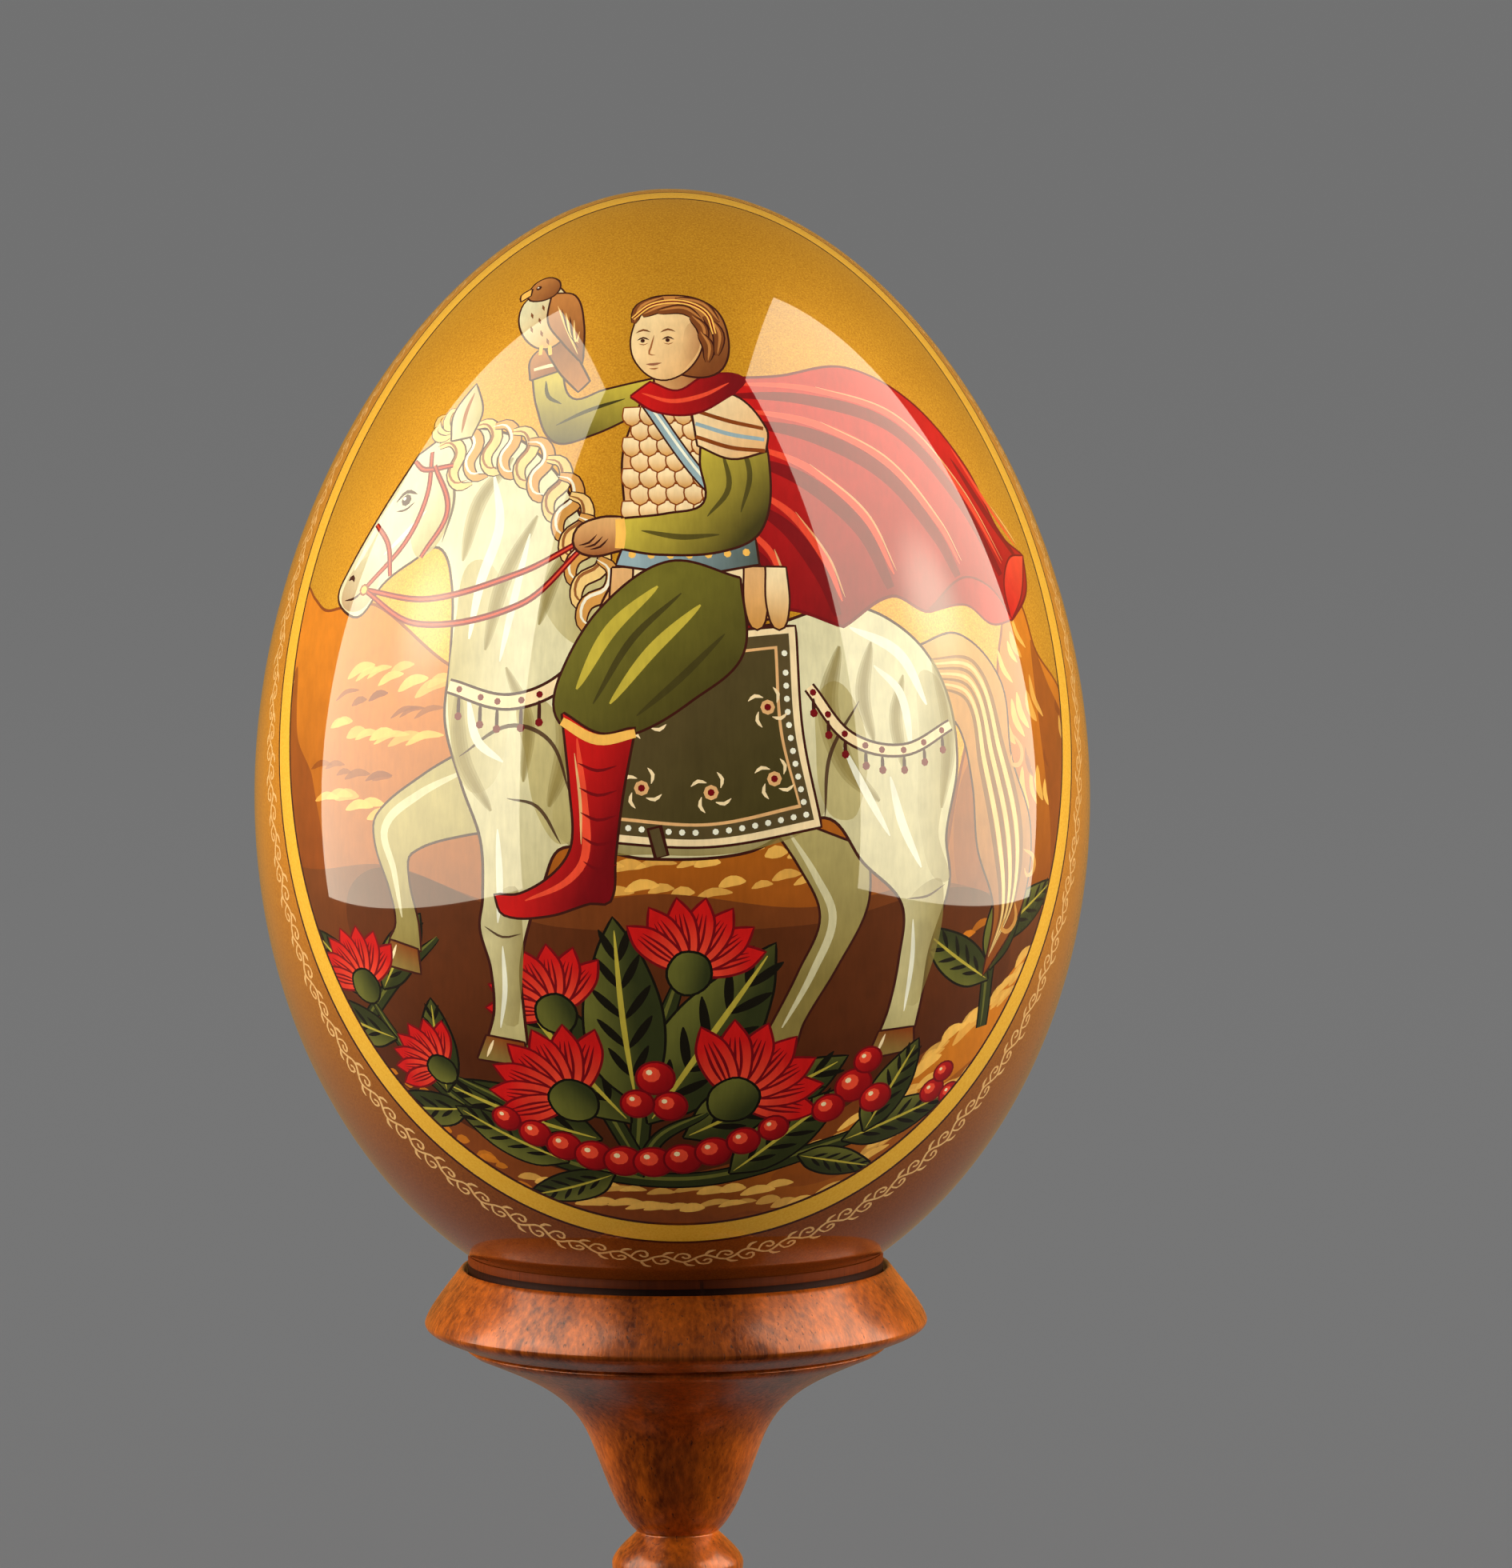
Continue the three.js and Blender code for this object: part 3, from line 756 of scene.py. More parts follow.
# %% Leg and near arm
def paint_leg():
    breeches = [(5, 17.6), (5, 17.6), (-1, 19), (-6.6, 15.4), (-10, 10), (-10.4, 6.4), (-7.4, 4.6),
                (-3.6, 5.2), (0.6, 7.6), (5, 11.4)]
    shape(breeches, OLIVE, to=OLIVE_DARK, along=((-6, 14), (0, 5)))
    for path, width, colour in [([(-2, 17), (-6, 13.4), (-8.8, 8.6)], 1.1, OLIVE_LIGHT),
                                ([(1.6, 15.4), (-2.6, 11.6), (-6, 7.4)], 1.0, OLIVE_LIGHT),
                                ([(0, 16.4), (-4.2, 12.6), (-7.4, 7.4)], 0.6, OLIVE_DARK),
                                ([(3.6, 13), (-0.2, 9.4), (-3.8, 6.4)], 0.6, OLIVE_DARK)]:
        stroke(path, width, colour, cover=0.9)
    boot = [(-9.9, 6.6), (-9.9, 6.6), (-9.2, 0.6), (-9, -4), (-10.4, -6.4), (-13.4, -8.4), (-15.6, -8.6),
            (-15.6, -8.6), (-14.8, -10.2), (-11, -10), (-7.6, -8.8), (-6, -8.6), (-5.6, -5), (-5, 0),
            (-4, 5.4), (-4, 5.4), (-6.8, 4.9)]
    shape(boot, RED, to=RED_DARK, along=((-9.4, 0), (-5, -2)))
    stroke([(-8.7, 4.6), (-8.1, -0.4), (-8, -5), (-9.6, -7.2), (-13, -8.9)], 0.7, RED_LIGHT)
    stroke([(-8.9, 3.4), (-8.4, -0.4), (-8.3, -4)], 0.25, PEACH)
    for k in range(5):
        stroke([(-8.6 + 0.12 * k, 2.6 - 2 * k), (-7, 2 - 2 * k), (-5.4, 2.4 - 2 * k)], 0.26, RED_DARK)
    stroke([(-10, 6), (-7, 4.5), (-3.9, 5)], 0.85, OCHRE_LIGHT, ends=(0.8, 0.8))


def paint_near_arm():
    sleeve = [(2.6, 33.6), (2.6, 33.6), (7, 32.4), (8.2, 27), (7, 21.8), (3.4, 20), (-2, 19.8),
              (-5.4, 20.4), (-5.4, 20.4), (-5.4, 22.8), (-5.4, 22.8), (-1, 23.2), (2.2, 24.2), (2, 28)]
    shape(sleeve, OLIVE_LIGHT, to=OLIVE_DARK, along=((2.4, 30), (8.4, 24)))
    for path in ([(5.4, 31), (6.4, 27), (5.4, 23.4)], [(4, 29), (4.4, 25.6), (2.4, 23)],
                 [(3.4, 21.4), (0, 21.2), (-3.4, 21.8)]):
        stroke(path, 0.5, OLIVE_DARK, cover=0.85)
    shape([(1.2, 34.4), (1.2, 34.4), (5.4, 34.6), (8.2, 31.4), (8, 29.2), (8, 29.2), (4.8, 28.4),
           (1.8, 29.6), (1.8, 29.6)], PEACH_LIGHT, to=PEACH, along=((2, 34), (7.6, 29)))
    for k in range(3):
        stroke([(1.6, 33 - 1.3 * k), (4.8, 32 - 1.3 * k), (8, 31.4 - 1.1 * k)], 0.4,
               BLUE_GREY if k % 2 else OCHRE_DARK, ends=(0.9, 0.9))
    shape([(-5.2, 20.2), (-5.2, 20.2), (-7.6, 19.8), (-9.2, 20.6), (-9, 22.2), (-7, 23), (-5.2, 23),
           (-5.2, 23)], SKIN, to=SKIN_SHADE, along=((-7, 23), (-7, 19.8)))
    for k in range(3):
        stroke([(-8.9 + 0.5 * k, 20.7 - 0.2 * k), (-8 + 0.5 * k, 20.9 - 0.2 * k),
                (-7.3 + 0.5 * k, 21.6 - 0.2 * k)], 0.2, INK)
    stroke([(-5.3, 20.3), (-5.2, 21.6), (-5.3, 22.9)], 0.9, OCHRE_LIGHT, ends=(0.9, 0.9))


paint_leg()
paint_near_arm()
print("marks with the rider's leg and arm:", len(marks))

# %% Head of the rider
def paint_head():
    shape([(-2.2, 37.4), (-2.2, 37.4), (-2, 34), (-2, 34), (2.2, 33.8), (2.2, 33.8), (2.8, 37.4),
           (2.8, 37.4)], SKIN_SHADE, to=SKIN, along=((2, 37), (-2, 35)))
    collar = [(-4.4, 34.6), (-4.4, 34.6), (-2, 33), (1.6, 32.8), (5.4, 35), (5.4, 35), (6.4, 36.6),
              (2.8, 36.6), (0, 35), (-2.6, 36), (-2.6, 36)]
    shape(collar, RED, to=RED_DARK, along=((-3, 35), (5, 34)), ink=RED_DARK)
    stroke([(-3.4, 34.9), (-0.6, 34), (2.4, 34.6), (5, 36)], 0.45, RED_LIGHT)
    hair_back = [(-3.4, 45.2), (0.4, 46.4), (4, 44.8), (5.2, 41), (4.4, 37.6), (2, 36.6), (-1, 38)]
    shape(hair_back, HAIR, to=HAIR_LIGHT, along=((4.6, 38), (-1, 46)))
    face = [(-4.2, 42.6), (-4.5, 40.4), (-4.0, 38.4), (-2.4, 36.6), (-0.6, 36.4), (1.4, 37.8),
            (2.6, 40.4), (2.2, 43.4), (-1, 45), (-3.4, 44.4)]
    shape(face, SKIN_LIGHT, to=SKIN, along=((-3.6, 42), (2.4, 38)), edge=0.18)
    wash([(1.6, 43), (2.4, 40.4), (1.2, 38), (-0.6, 36.6), (0.4, 39)], SKIN_SHADE,
         along=((2.4, 40), (0.2, 40)), cover=0.6, cover_end=0)
    for x in (-3.3, -0.8):
        stroke([(x - 0.75, 41.75), (x, 42.1), (x + 0.75, 41.8)], 0.24, HAIR)
        stroke([(x - 0.6, 40.85), (x, 41.15), (x + 0.6, 40.85)], 0.22, INK)
        dot((x - 0.05, 40.78), 0.24, INK)
        stroke([(x - 0.45, 40.45), (x + 0.05, 40.3), (x + 0.5, 40.5)], 0.12, SKIN_SHADE)
    stroke([(-2.2, 41.4), (-2.55, 39.9), (-2.7, 39.2), (-2.1, 39.05)], 0.2, SKIN_SHADE)
    stroke([(-3.0, 38.05), (-2.3, 38.0), (-1.5, 38.15)], 0.3, RED_DARK, cover=0.8)
    stroke([(-2.7, 37.55), (-2.2, 37.5), (-1.8, 37.6)], 0.16, SKIN_SHADE)
    locks = [[(-4.3, 43), (-3.6, 45), (-1.2, 46.2)], [(-3.4, 43.9), (-1.4, 44.9), (1.2, 45.2)],
             [(-1.8, 44.3), (0.8, 44.6), (2.6, 43.2)], [(1.6, 43.6), (2.7, 42.2), (2.8, 40.2)],
             [(2.4, 41.6), (3.2, 40), (3, 38.2)], [(3, 43.8), (4.3, 41.6), (4, 39)],
             [(0, 46), (2.8, 45.2), (4.4, 43)]]
    for path in locks:
        stroke(path, 1.35, INK, ends=(0.4, 0.3))
        stroke(path, 1.0, HAIR, ends=(0.4, 0.3))
        stroke([(x + 0.1, y + 0.22) for x, y in path], 0.3, HAIR_LIGHT)
    circlet = [(-4.4, 43.6), (-2.4, 45.3), (0.8, 45.6), (3.2, 44.2), (3.9, 41.6)]
    for width, colour in ((0.6, OCHRE_LIGHT), (0.2, RED_DARK)):
        stroke(circlet, width, colour, ends=(0.7, 0.7))


paint_head()
print("marks with the rider's head:", len(marks))

# %% [markdown]
# ## Plants in front
# The last marks are the flowers and berries in front of the hooves. They use the same leaf, flower and
# stem as before.

# %% Plants in front of the hooves
def paint_berry(at, radius):
    """A round berry with a shaded side and a small light."""
    dot(at, radius + 0.2, RED_DARK)
    dot(at, radius, RED, to=RED_DARK, along=((at[0] - radius, at[1] + radius),
                                             (at[0] + radius, at[1] - radius)))
    dot((at[0] - 0.22 * radius, at[1] + 0.24 * radius), radius * 0.5, RED_LIGHT)
    dot((at[0] - 0.34 * radius, at[1] + 0.38 * radius), radius * 0.18, PEACH_LIGHT)


def paint_front_plants():
    """What grows in front of the hooves."""
    paint_stems([([(24, -30.5), (12, -33), (0, -35.5), (-12, -33.5), (-23, -27), (-29, -20)], 1.5),
                 ([(-12, -33.5), (-14, -29), (-20, -26.5)], 1.0),
                 ([(6, -34.5), (9, -30), (14, -28)], 1.0), ([(-4, -35), (-2, -30.5), (2, -28)], 1.0)])
    for at, turn, size in [((-26, -24), 176, 1.05), ((-19, -29.8), 196, 1.0), ((-21, -28.4), 96, 0.95),
                           ((-10, -34), 158, 1.1), ((-6, -35), 208, 0.9), ((4, -34.8), 40, 1.25),
                           ((14, -32.6), 12, 1.1), ((16, -32), 62, 1.0), ((10, -33.5), -24, 0.8)]:
        paint_leaf(at, turn, size)
    paint_flower((-29.2, -19.2), 120, 1.15)
    paint_flower((4.2, -26.6), 48, 1.5)
    paint_flower((-9.4, -27), 138, 1.45)
    paint_flower((-21.4, -26), 150, 1.0)
    for k in range(10):
        t = k / 9
        paint_berry((-15.4 + 23 * t, -30 - 3.4 * np.sin(np.pi * t)), 1.2 + 0.4 * np.sin(np.pi * t))
    for x, y, radius in [(14.6, -26.6, 1.6), (16.8, -28.4, 1.4), (12.4, -28.6, 1.35), (15.8, -24.2, 1.2),
                         (-2.4, -24.4, 1.5), (-1.2, -27.2, 1.35), (-3.9, -27, 1.3), (22.8, -29.4, 1.2),
                         (24.9, -30.4, 1.05), (23.9, -27.6, 1.0)]:
        paint_berry((x, y), radius)


paint_front_plants()
print("marks of the whole sheet:", len(marks))

# %% [markdown]
# ## From a flat sheet to the egg
# The sheet has to lie on a surface that curves both ways. Wrapping it from the front, as an orange peel
# spreads from its middle, keeps the middle of the picture true and stretches only its rim. `on_egg` takes
# a direction to the egg's surface, and `unwrap` takes spots there back to the sheet.

# %% The egg's surface
EGG_POINTEDNESS = -0.079  # below zero, the narrow end is up
EGG_SLIMNESS = -0.035
turns = np.linspace(-np.pi / 2, np.pi / 2, 2001)
widest = np.max(np.cos(turns) * (1 + EGG_POINTEDNESS * np.sin(turns) + EGG_SLIMNESS * np.sin(turns) ** 2))
EGG_RADIUS = (egg_high.x - egg_low.x) / 2 / MM / widest
EGG_HALF = (egg_high.z - egg_low.z) / 2 / MM
SHEET_SCALE = np.array([EGG_RADIUS, EGG_HALF])


def direction(spread, turn):
    """A unit direction, from its angle away from the egg's front and its angle round the front."""
    spread, turn = np.broadcast_arrays(spread, turn)
    return np.stack([np.sin(spread) * np.cos(turn), -np.cos(spread), np.sin(spread) * np.sin(turn)],
                    axis=-1)


def on_egg(way):
    """The egg's surface, in millimetres from its middle, in a unit direction."""
    rise = way[..., 2]
    full = 1 + EGG_POINTEDNESS * rise + EGG_SLIMNESS * rise**2
    return np.stack([EGG_RADIUS * full * way[..., 0], EGG_RADIUS * full * way[..., 1], EGG_HALF * rise],
                    axis=-1)


def outwards(way):
    """The egg's surface normal in a unit direction."""
    rise = np.clip(way[..., 2], -1, 1)
    level = np.maximum(np.hypot(way[..., 0], way[..., 1]), 1e-9)
    full = 1 + EGG_POINTEDNESS * rise + EGG_SLIMNESS * rise**2
    radius_slope = EGG_RADIUS * (-rise * full + level**2 * (EGG_POINTEDNESS + 2 * EGG_SLIMNESS * rise))
    normal = np.stack([way[..., 0] * EGG_HALF, way[..., 1] * EGG_HALF, -radius_slope], axis=-1)
    return normal / np.linalg.norm(normal, axis=-1, keepdims=True)


def unwrap(spots):
    """Sheet points of spots on or close to the egg."""
    full = np.ones(spots.shape[:-1])
    for _ in range(4):
        way = spots / np.stack([EGG_RADIUS * full, EGG_RADIUS * full, np.full_like(full, EGG_HALF)],
                               axis=-1)
        way /= np.linalg.norm(way, axis=-1, keepdims=True)
        full = 1 + EGG_POINTEDNESS * way[..., 2] + EGG_SLIMNESS * way[..., 2] ** 2
    spread = np.arccos(np.clip(-way[..., 1], -1, 1))
    turn = np.arctan2(way[..., 2], way[..., 0])
    return np.stack([np.cos(turn), np.sin(turn)], axis=-1) * spread[..., None] * SHEET_SCALE


print("egg radius and half height in mm:", round(EGG_RADIUS, 2), round(EGG_HALF, 2))

# %% [markdown]
# ## The gold frame and its filigree
# A bright gold band frames the picture in a tilted oval: it runs just in front of the tip, along both
# sides, and well down the front. On the real egg such a band is drawn with the egg turning in a rest, so
# it is the cut of a nearly flat sheet through the egg. A vine of fine gold lines follows it outside.

# %% The frame's middle line
FRAME_DEPTH = (13.38, -0.2284, 0.00061)  # how far in front of the axis it lies, by height
BAND_HALF_WIDTH = 1.05
BAND_LINE = 0.28
OVAL_STEPS = 1440


def trace_oval():
    """Evenly spaced points of the frame's middle line, and the way out from the picture at each."""
    turn = np.linspace(0, 2 * np.pi, OVAL_STEPS, endpoint=False)
    near, far = np.full(OVAL_STEPS, 0.3), np.full(OVAL_STEPS, 1.6)
    for _ in range(40):
        middle = (near + far) / 2
        spot = on_egg(direction(middle, turn))
        inside = -spot[:, 1] > np.polynomial.polynomial.polyval(spot[:, 2], FRAME_DEPTH)
        near, far = np.where(inside, middle, near), np.where(inside, far, middle)
    spot = on_egg(direction(near, turn))
    gaps = np.linalg.norm(np.roll(spot, -1, axis=0) - spot, axis=1)
    travelled = np.concatenate([[0], np.cumsum(gaps)])
    even = np.linspace(0, travelled[-1], OVAL_STEPS, endpoint=False)
    spin = np.interp(even, travelled, np.append(turn, 2 * np.pi))
    spread = np.interp(even, travelled, np.append(near, near[0]))
    way = direction(spread, spin)
    spot = on_egg(way)
    along = np.roll(spot, -1, axis=0) - np.roll(spot, 1, axis=0)
    out = np.cross(along, outwards(way))
    return spot, out / np.linalg.norm(out, axis=1, keepdims=True), travelled[-1]


oval, oval_out, OVAL_LENGTH = trace_oval()
oval_sheet = unwrap(oval)


def beside_oval(travel, offset):
    """Sheet points at some distances round the frame and outwards from it, in millimetres."""
    place = np.asarray(travel, float) / OVAL_LENGTH * OVAL_STEPS
    first = np.floor(place).astype(int)
    share = (place - first)[..., None]
    here, following = first % OVAL_STEPS, (first + 1) % OVAL_STEPS
    spot = oval[here] * (1 - share) + oval[following] * share
    out = oval_out[here] * (1 - share) + oval_out[following] * share
    return unwrap(spot + out * np.asarray(offset, float)[..., None])


def oval_loop(offset, count=420):
    travel = np.linspace(0, OVAL_LENGTH, count, endpoint=False)
    return beside_oval(travel, np.full(count, offset))


print("frame length in mm:", round(OVAL_LENGTH, 1))

# %% Filigree round the frame
VINE_OFFSET = 3.65
VINE_WAVE = 3.3  # millimetres along the frame
VINE_SWING = 0.5
VINE_WIDTH = 0.29
filigree = []


def frame_stroke(points, width, ends):
    """A gold stroke given by distances round the frame and outwards from it."""
    travel, offset = bend(points, closed=False).T
    filigree.append(brushed(beside_oval(travel, offset), width, ends))


def grow_vine():
    """A stem that winds to and fro, with a curl in each bend and a small leaf on each crest."""
    rng = np.random.default_rng(11)
    count = round(OVAL_LENGTH / VINE_WAVE)
    wave = OVAL_LENGTH / count

    def bit(start, side, points, width, ends):
        spots = [(start + x * wave, VINE_OFFSET + side * y) for x, y in points]
        frame_stroke(spots, VINE_WIDTH * width, ends)

    for k in range(2 * count):
        start, side = k / 2 * wave, 1 - 2 * (k % 2)
        lift = rng.uniform(0.85, 1.2)
        bit(start, side, [(-0.04, -0.08), (0.24, VINE_SWING * lift), (0.54, -0.08)], 1.0, (0.9, 0.9))
        bit(start, side, [(0.02, 0.05), (0.13, -0.75), (0.33, -0.82 * lift), (0.4, -0.3), (0.3, -0.12),
                          (0.22, -0.38)], 0.9, (0.7, 0.9))
        bit(start, side, [(0.26, VINE_SWING), (0.36, 1.0 * lift), (0.52, 1.12 * lift)], 1.2, (0.5, 0.3))


grow_vine()
print("filigree strokes:", len(filigree))

# %% [markdown]
# ## Cutting the sheet
# A constrained triangulation joins all the outlines and a loose grid of points into triangles whose edges
# follow every outline. Each triangle then takes its colour from the marks that cover its middle, laid on
# in order, and its kind of surface: bare ground, gold sky, paint, gold band or filigree.

# %% Cut the sheet into triangles
RIM_SPREAD = 1.68  # radians from the front to the sheet's rim, past the filigree
RIM_COUNT = 288
GRID_STEP = 1.15
ROW_STEP = 0.866  # of the grid's step, so that its triangles are even
RIM_MARGIN = 0.015  # radians between the grid and the rim
MERGE_DISTANCE = 1e-3
GROUND, SKY, PAINT, BAND, VINE = range(5)


def kept_in_frame(outline):
    """The outline, with what runs past the frame drawn in to its middle line."""
    turn = np.arctan2(*(outline / SHEET_SCALE).T[::-1])
    oval_turn = np.arctan2(*(oval_sheet / SHEET_SCALE).T[::-1])
    order = np.argsort(oval_turn)
    reach = np.interp(turn, oval_turn[order], np.linalg.norm(oval_sheet / SHEET_SCALE, axis=1)[order],
                      period=2 * np.pi)
    far = np.linalg.norm(outline / SHEET_SCALE, axis=1)
    return outline * np.minimum(1, reach / np.maximum(far, 1e-9))[:, None]


for mark in marks:
    mark["outline"] = kept_in_frame(mark["outline"])

outer_line = BAND_HALF_WIDTH + BAND_LINE
band_loops = [oval_loop(offset) for offset in (outer_line, BAND_HALF_WIDTH, -BAND_HALF_WIDTH, -outer_line)]


def sheet_points():
    """The rim, and a grid of staggered points inside it."""
    turn = np.linspace(0, 2 * np.pi, RIM_COUNT, endpoint=False)
    rim = np.stack([np.cos(turn), np.sin(turn)], axis=1) * RIM_SPREAD * SHEET_SCALE
    across, up = (SHEET_SCALE * RIM_SPREAD / GRID_STEP).astype(int)
    rows, columns = np.arange(-up, up + 1), np.arange(-across, across + 1)
    x, y = np.meshgrid(columns * GRID_STEP, rows * GRID_STEP * ROW_STEP)
    x = x + (rows % 2)[:, None] * GRID_STEP / 2
    grid = np.stack([x.ravel(), y.ravel()], axis=1)
    return rim, grid[np.linalg.norm(grid / SHEET_SCALE, axis=1) < RIM_SPREAD - RIM_MARGIN]


def cut_sheet():
    rim, grid = sheet_points()
    loops = [rim, *band_loops, *filigree, *(mark["outline"] for mark in marks)]
    corners = np.concatenate([*loops, grid])
    edges, first = [], 0
    for loop in loops:
        edges += [(first + i, first + (i + 1) % len(loop)) for i in range(len(loop))]
        first += len(loop)
    found = delaunay_2d_cdt([Vector(c) for c in corners], edges, [], 0, MERGE_DISTANCE, False)
    return np.array([tuple(c) for c in found[0]]), np.array(found[2])


sheet_corners, sheet_triangles = cut_sheet()
print("corners and triangles of the sheet:", len(sheet_corners), len(sheet_triangles))

# %% Lay the marks on the triangles
def covered(outline, spots):
    """Which spots lie inside an outline, counting its turns round each of them."""
    winding = np.zeros(len(spots), int)
    x, y = spots.T
    for (x0, y0), (x1, y1) in zip(outline, np.roll(outline, -1, axis=0)):
        left = (x1 - x0) * (y - y0) - (x - x0) * (y1 - y0)
        winding += (y0 <= y) & (y1 > y) & (left > 0)
        winding -= (y0 > y) & (y1 <= y) & (left < 0)
    return winding != 0


middles = sheet_corners[sheet_triangles].mean(axis=1)


def triangles_in(outline):
    low, high = outline.min(axis=0), outline.max(axis=0)
    near = np.flatnonzero(np.all((middles >= low) & (middles <= high), axis=1))
    return near[covered(outline, middles[near])]


GOLD_PAINT = pigment(216, 156, 48)
surface_kind = np.full(len(sheet_triangles), GROUND)
colours = np.tile(GOLD_PAINT, (len(sheet_triangles), 3, 1))
for outline in filigree:
    surface_kind[triangles_in(outline)] = VINE
for loop, kind in zip(band_loops, (PAINT, BAND, PAINT, SKY)):
    inside = triangles_in(loop)
    surface_kind[inside] = kind
    colours[inside] = INK if kind == PAINT else GOLD_PAINT
in_picture = np.zeros(len(sheet_triangles), bool)
in_picture[inside] = True

for mark in marks:
    inside = triangles_in(mark["outline"])
    inside = inside[in_picture[inside]]
    start, end = np.array(mark["along"], float)
    reach = end - start
    spots = sheet_corners[sheet_triangles[inside]]
    t = np.clip((spots - start) @ reach / (reach @ reach), 0, 1)[..., None]
    cover = mark["cover"][0] * (1 - t) + mark["cover"][1] * t
    colours[inside] = colours[inside] * (1 - cover) + cover * (mark["colour"] * (1 - t) + mark["to"] * t)
    surface_kind[inside] = PAINT

print("triangles of ground, sky, paint, band and vine:", np.bincount(surface_kind, minlength=5))

# %% [markdown]
# ## The egg's mesh
# The front is the cut sheet, wrapped. The back is plain, so it is simple rings from the sheet's rim to
# the back. The normals are worked out from the egg's own curve. Without that, thin triangles would make
# the lacquer's reflections shiver. The picture also gets most of the texture space, because the back has
# nothing to show.

# %% Wrap the sheet and close the back
BACK_RINGS = 28
FRONT_PATCH = (0.44, 0.56, 0.435)  # middle and radius in the texture square
BACK_PATCH = (0.895, 0.105, 0.1)


def patch(spread, turn, middle_x, middle_y, radius):
    return np.stack([middle_x + radius * spread * np.cos(turn),
                     middle_y + radius * spread * np.sin(turn)], axis=-1)


def egg_surface():
    """Directions, faces, and texture places of the faces' corners."""
    scaled = sheet_corners / SHEET_SCALE
    spread, turn = np.hypot(*scaled.T), np.arctan2(scaled[:, 1], scaled[:, 0])
    rim = np.flatnonzero(spread > RIM_SPREAD - 1e-4)
    rim = rim[np.argsort(turn[rim])]
    count = len(rim)
    ways = [direction(spread, turn)]
    for k in range(1, BACK_RINGS):
        ways.append(direction(RIM_SPREAD + (np.pi - RIM_SPREAD) * k / BACK_RINGS, turn[rim]))
    ways.append(np.array([[0.0, 1.0, 0.0]]))
    front = patch(spread / RIM_SPREAD, turn, *FRONT_PATCH)
    faces, places = [tuple(t) for t in sheet_triangles], [front[t] for t in sheet_triangles]
    rings = [rim] + [len(spread) + k * count + np.arange(count) for k in range(BACK_RINGS - 1)]
    pole = len(spread) + (BACK_RINGS - 1) * count
    for k in range(BACK_RINGS):
        outer, inner = 1 - k / BACK_RINGS, 1 - (k + 1) / BACK_RINGS
        for i in range(count):
            j = (i + 1) % count
            here, following = turn[rim[i]], turn[rim[j]]
            wide = [patch(outer, a, *BACK_PATCH) for a in (here, following)]
            slim = [patch(inner, a, *BACK_PATCH) for a in (following, here)]
            if k < BACK_RINGS - 1:
                faces.append((rings[k][i], rings[k + 1][i], rings[k + 1][j], rings[k][j]))
                places.append(np.array([wide[0], slim[1], slim[0], wide[1]]))
            else:
                faces.append((rings[k][i], pole, rings[k][j]))
                places.append(np.array([wide[0], slim[0], wide[1]]))
    return np.concatenate(ways), faces, np.concatenate(places)


egg_ways, egg_faces, egg_places = egg_surface()
print("corners and faces of the egg:", len(egg_ways), len(egg_faces))

# %% Make the egg
PICTURE_TURN = math.radians(1.5)  # the egg stands a little turned in its cup


def make_piece(name, spots, faces, places):
    """A smooth mesh object, with the texture places of its faces' corners."""
    mesh = bpy.data.meshes.new(name)
    mesh.from_pydata(spots, [], faces)
    mesh.polygons.foreach_set("use_smooth", np.ones(len(faces), bool))
    mesh.uv_layers.new(name="OFBake").data.foreach_set("uv", np.array(places, np.float32).ravel())
    piece = bpy.data.objects.new(name, mesh)
    scene.collection.objects.link(piece)
    return piece


def make_egg(ways, faces, places):
    turned = np.array(Matrix.Rotation(PICTURE_TURN, 3, "Z"))
    spots = on_egg(ways) @ turned.T * MM + np.array(egg_middle)
    egg = make_piece("painted_egg", spots.tolist(), [[int(i) for i in face] for face in faces], places)
    mesh = egg.data
    kinds = np.full(len(faces), GROUND)
    kinds[: len(surface_kind)] = surface_kind
    mesh.polygons.foreach_set("material_index", kinds.astype(np.int32))
    tint = np.ones((len(mesh.loops), 4), np.float32)
    tint[: len(colours) * 3, :3] = colours.reshape(-1, 3)
    mesh.color_attributes.new("Pigment", "FLOAT_COLOR", "CORNER").data.foreach_set("color", tint.ravel())
    mesh.normals_split_custom_set_from_vertices((outwards(ways) @ turned.T).tolist())
    mesh.validate()
    return egg


egg = make_egg(egg_ways, egg_faces, egg_places)
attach(egg, "root")
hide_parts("egg")
print("egg triangles:", sum(len(face.vertices) - 2 for face in egg.data.polygons))

# %% [markdown]
# ## Small tools for shader nodes
# Shader trees are long to write by hand. `add` makes a node and fills its sockets, taking a number, a
# colour or another node's output. `group` makes a node group with named sockets, so one effect can serve
# many finishes. The nodes that come up again and again, such as noise and blends, get a function each.

# %% Node tools
def fill(tree, node, values):
    """Gives a node's inputs their values, or links them where a value is another node's output."""
    for name, value in values.items():
        if isinstance(value, bpy.types.NodeSocket):
            tree.links.new(value, node.inputs[name])
        else:
            node.inputs[name].default_value = value


def add(tree, kind, values=None, **settings):
    """A shader node with its settings and inputs."""
    node = tree.nodes.new("ShaderNode" + kind)
    for name, value in settings.items():
        setattr(node, name, value)
    fill(tree, node, values or {})
    return node


def group(name, takes, gives):
    """A shader node group. `takes` holds each input's kind and first value, `gives` each output's kind."""
    tree = bpy.data.node_groups.new(name, "ShaderNodeTree")
    for label, (kind, value) in takes.items():
        socket = tree.interface.new_socket(label, in_out="INPUT", socket_type="NodeSocket" + kind)
        socket.default_value = value
    for label, kind in gives.items():
        tree.interface.new_socket(label, in_out="OUTPUT", socket_type="NodeSocket" + kind)
    return tree, tree.nodes.new("NodeGroupInput").outputs, tree.nodes.new("NodeGroupOutput")


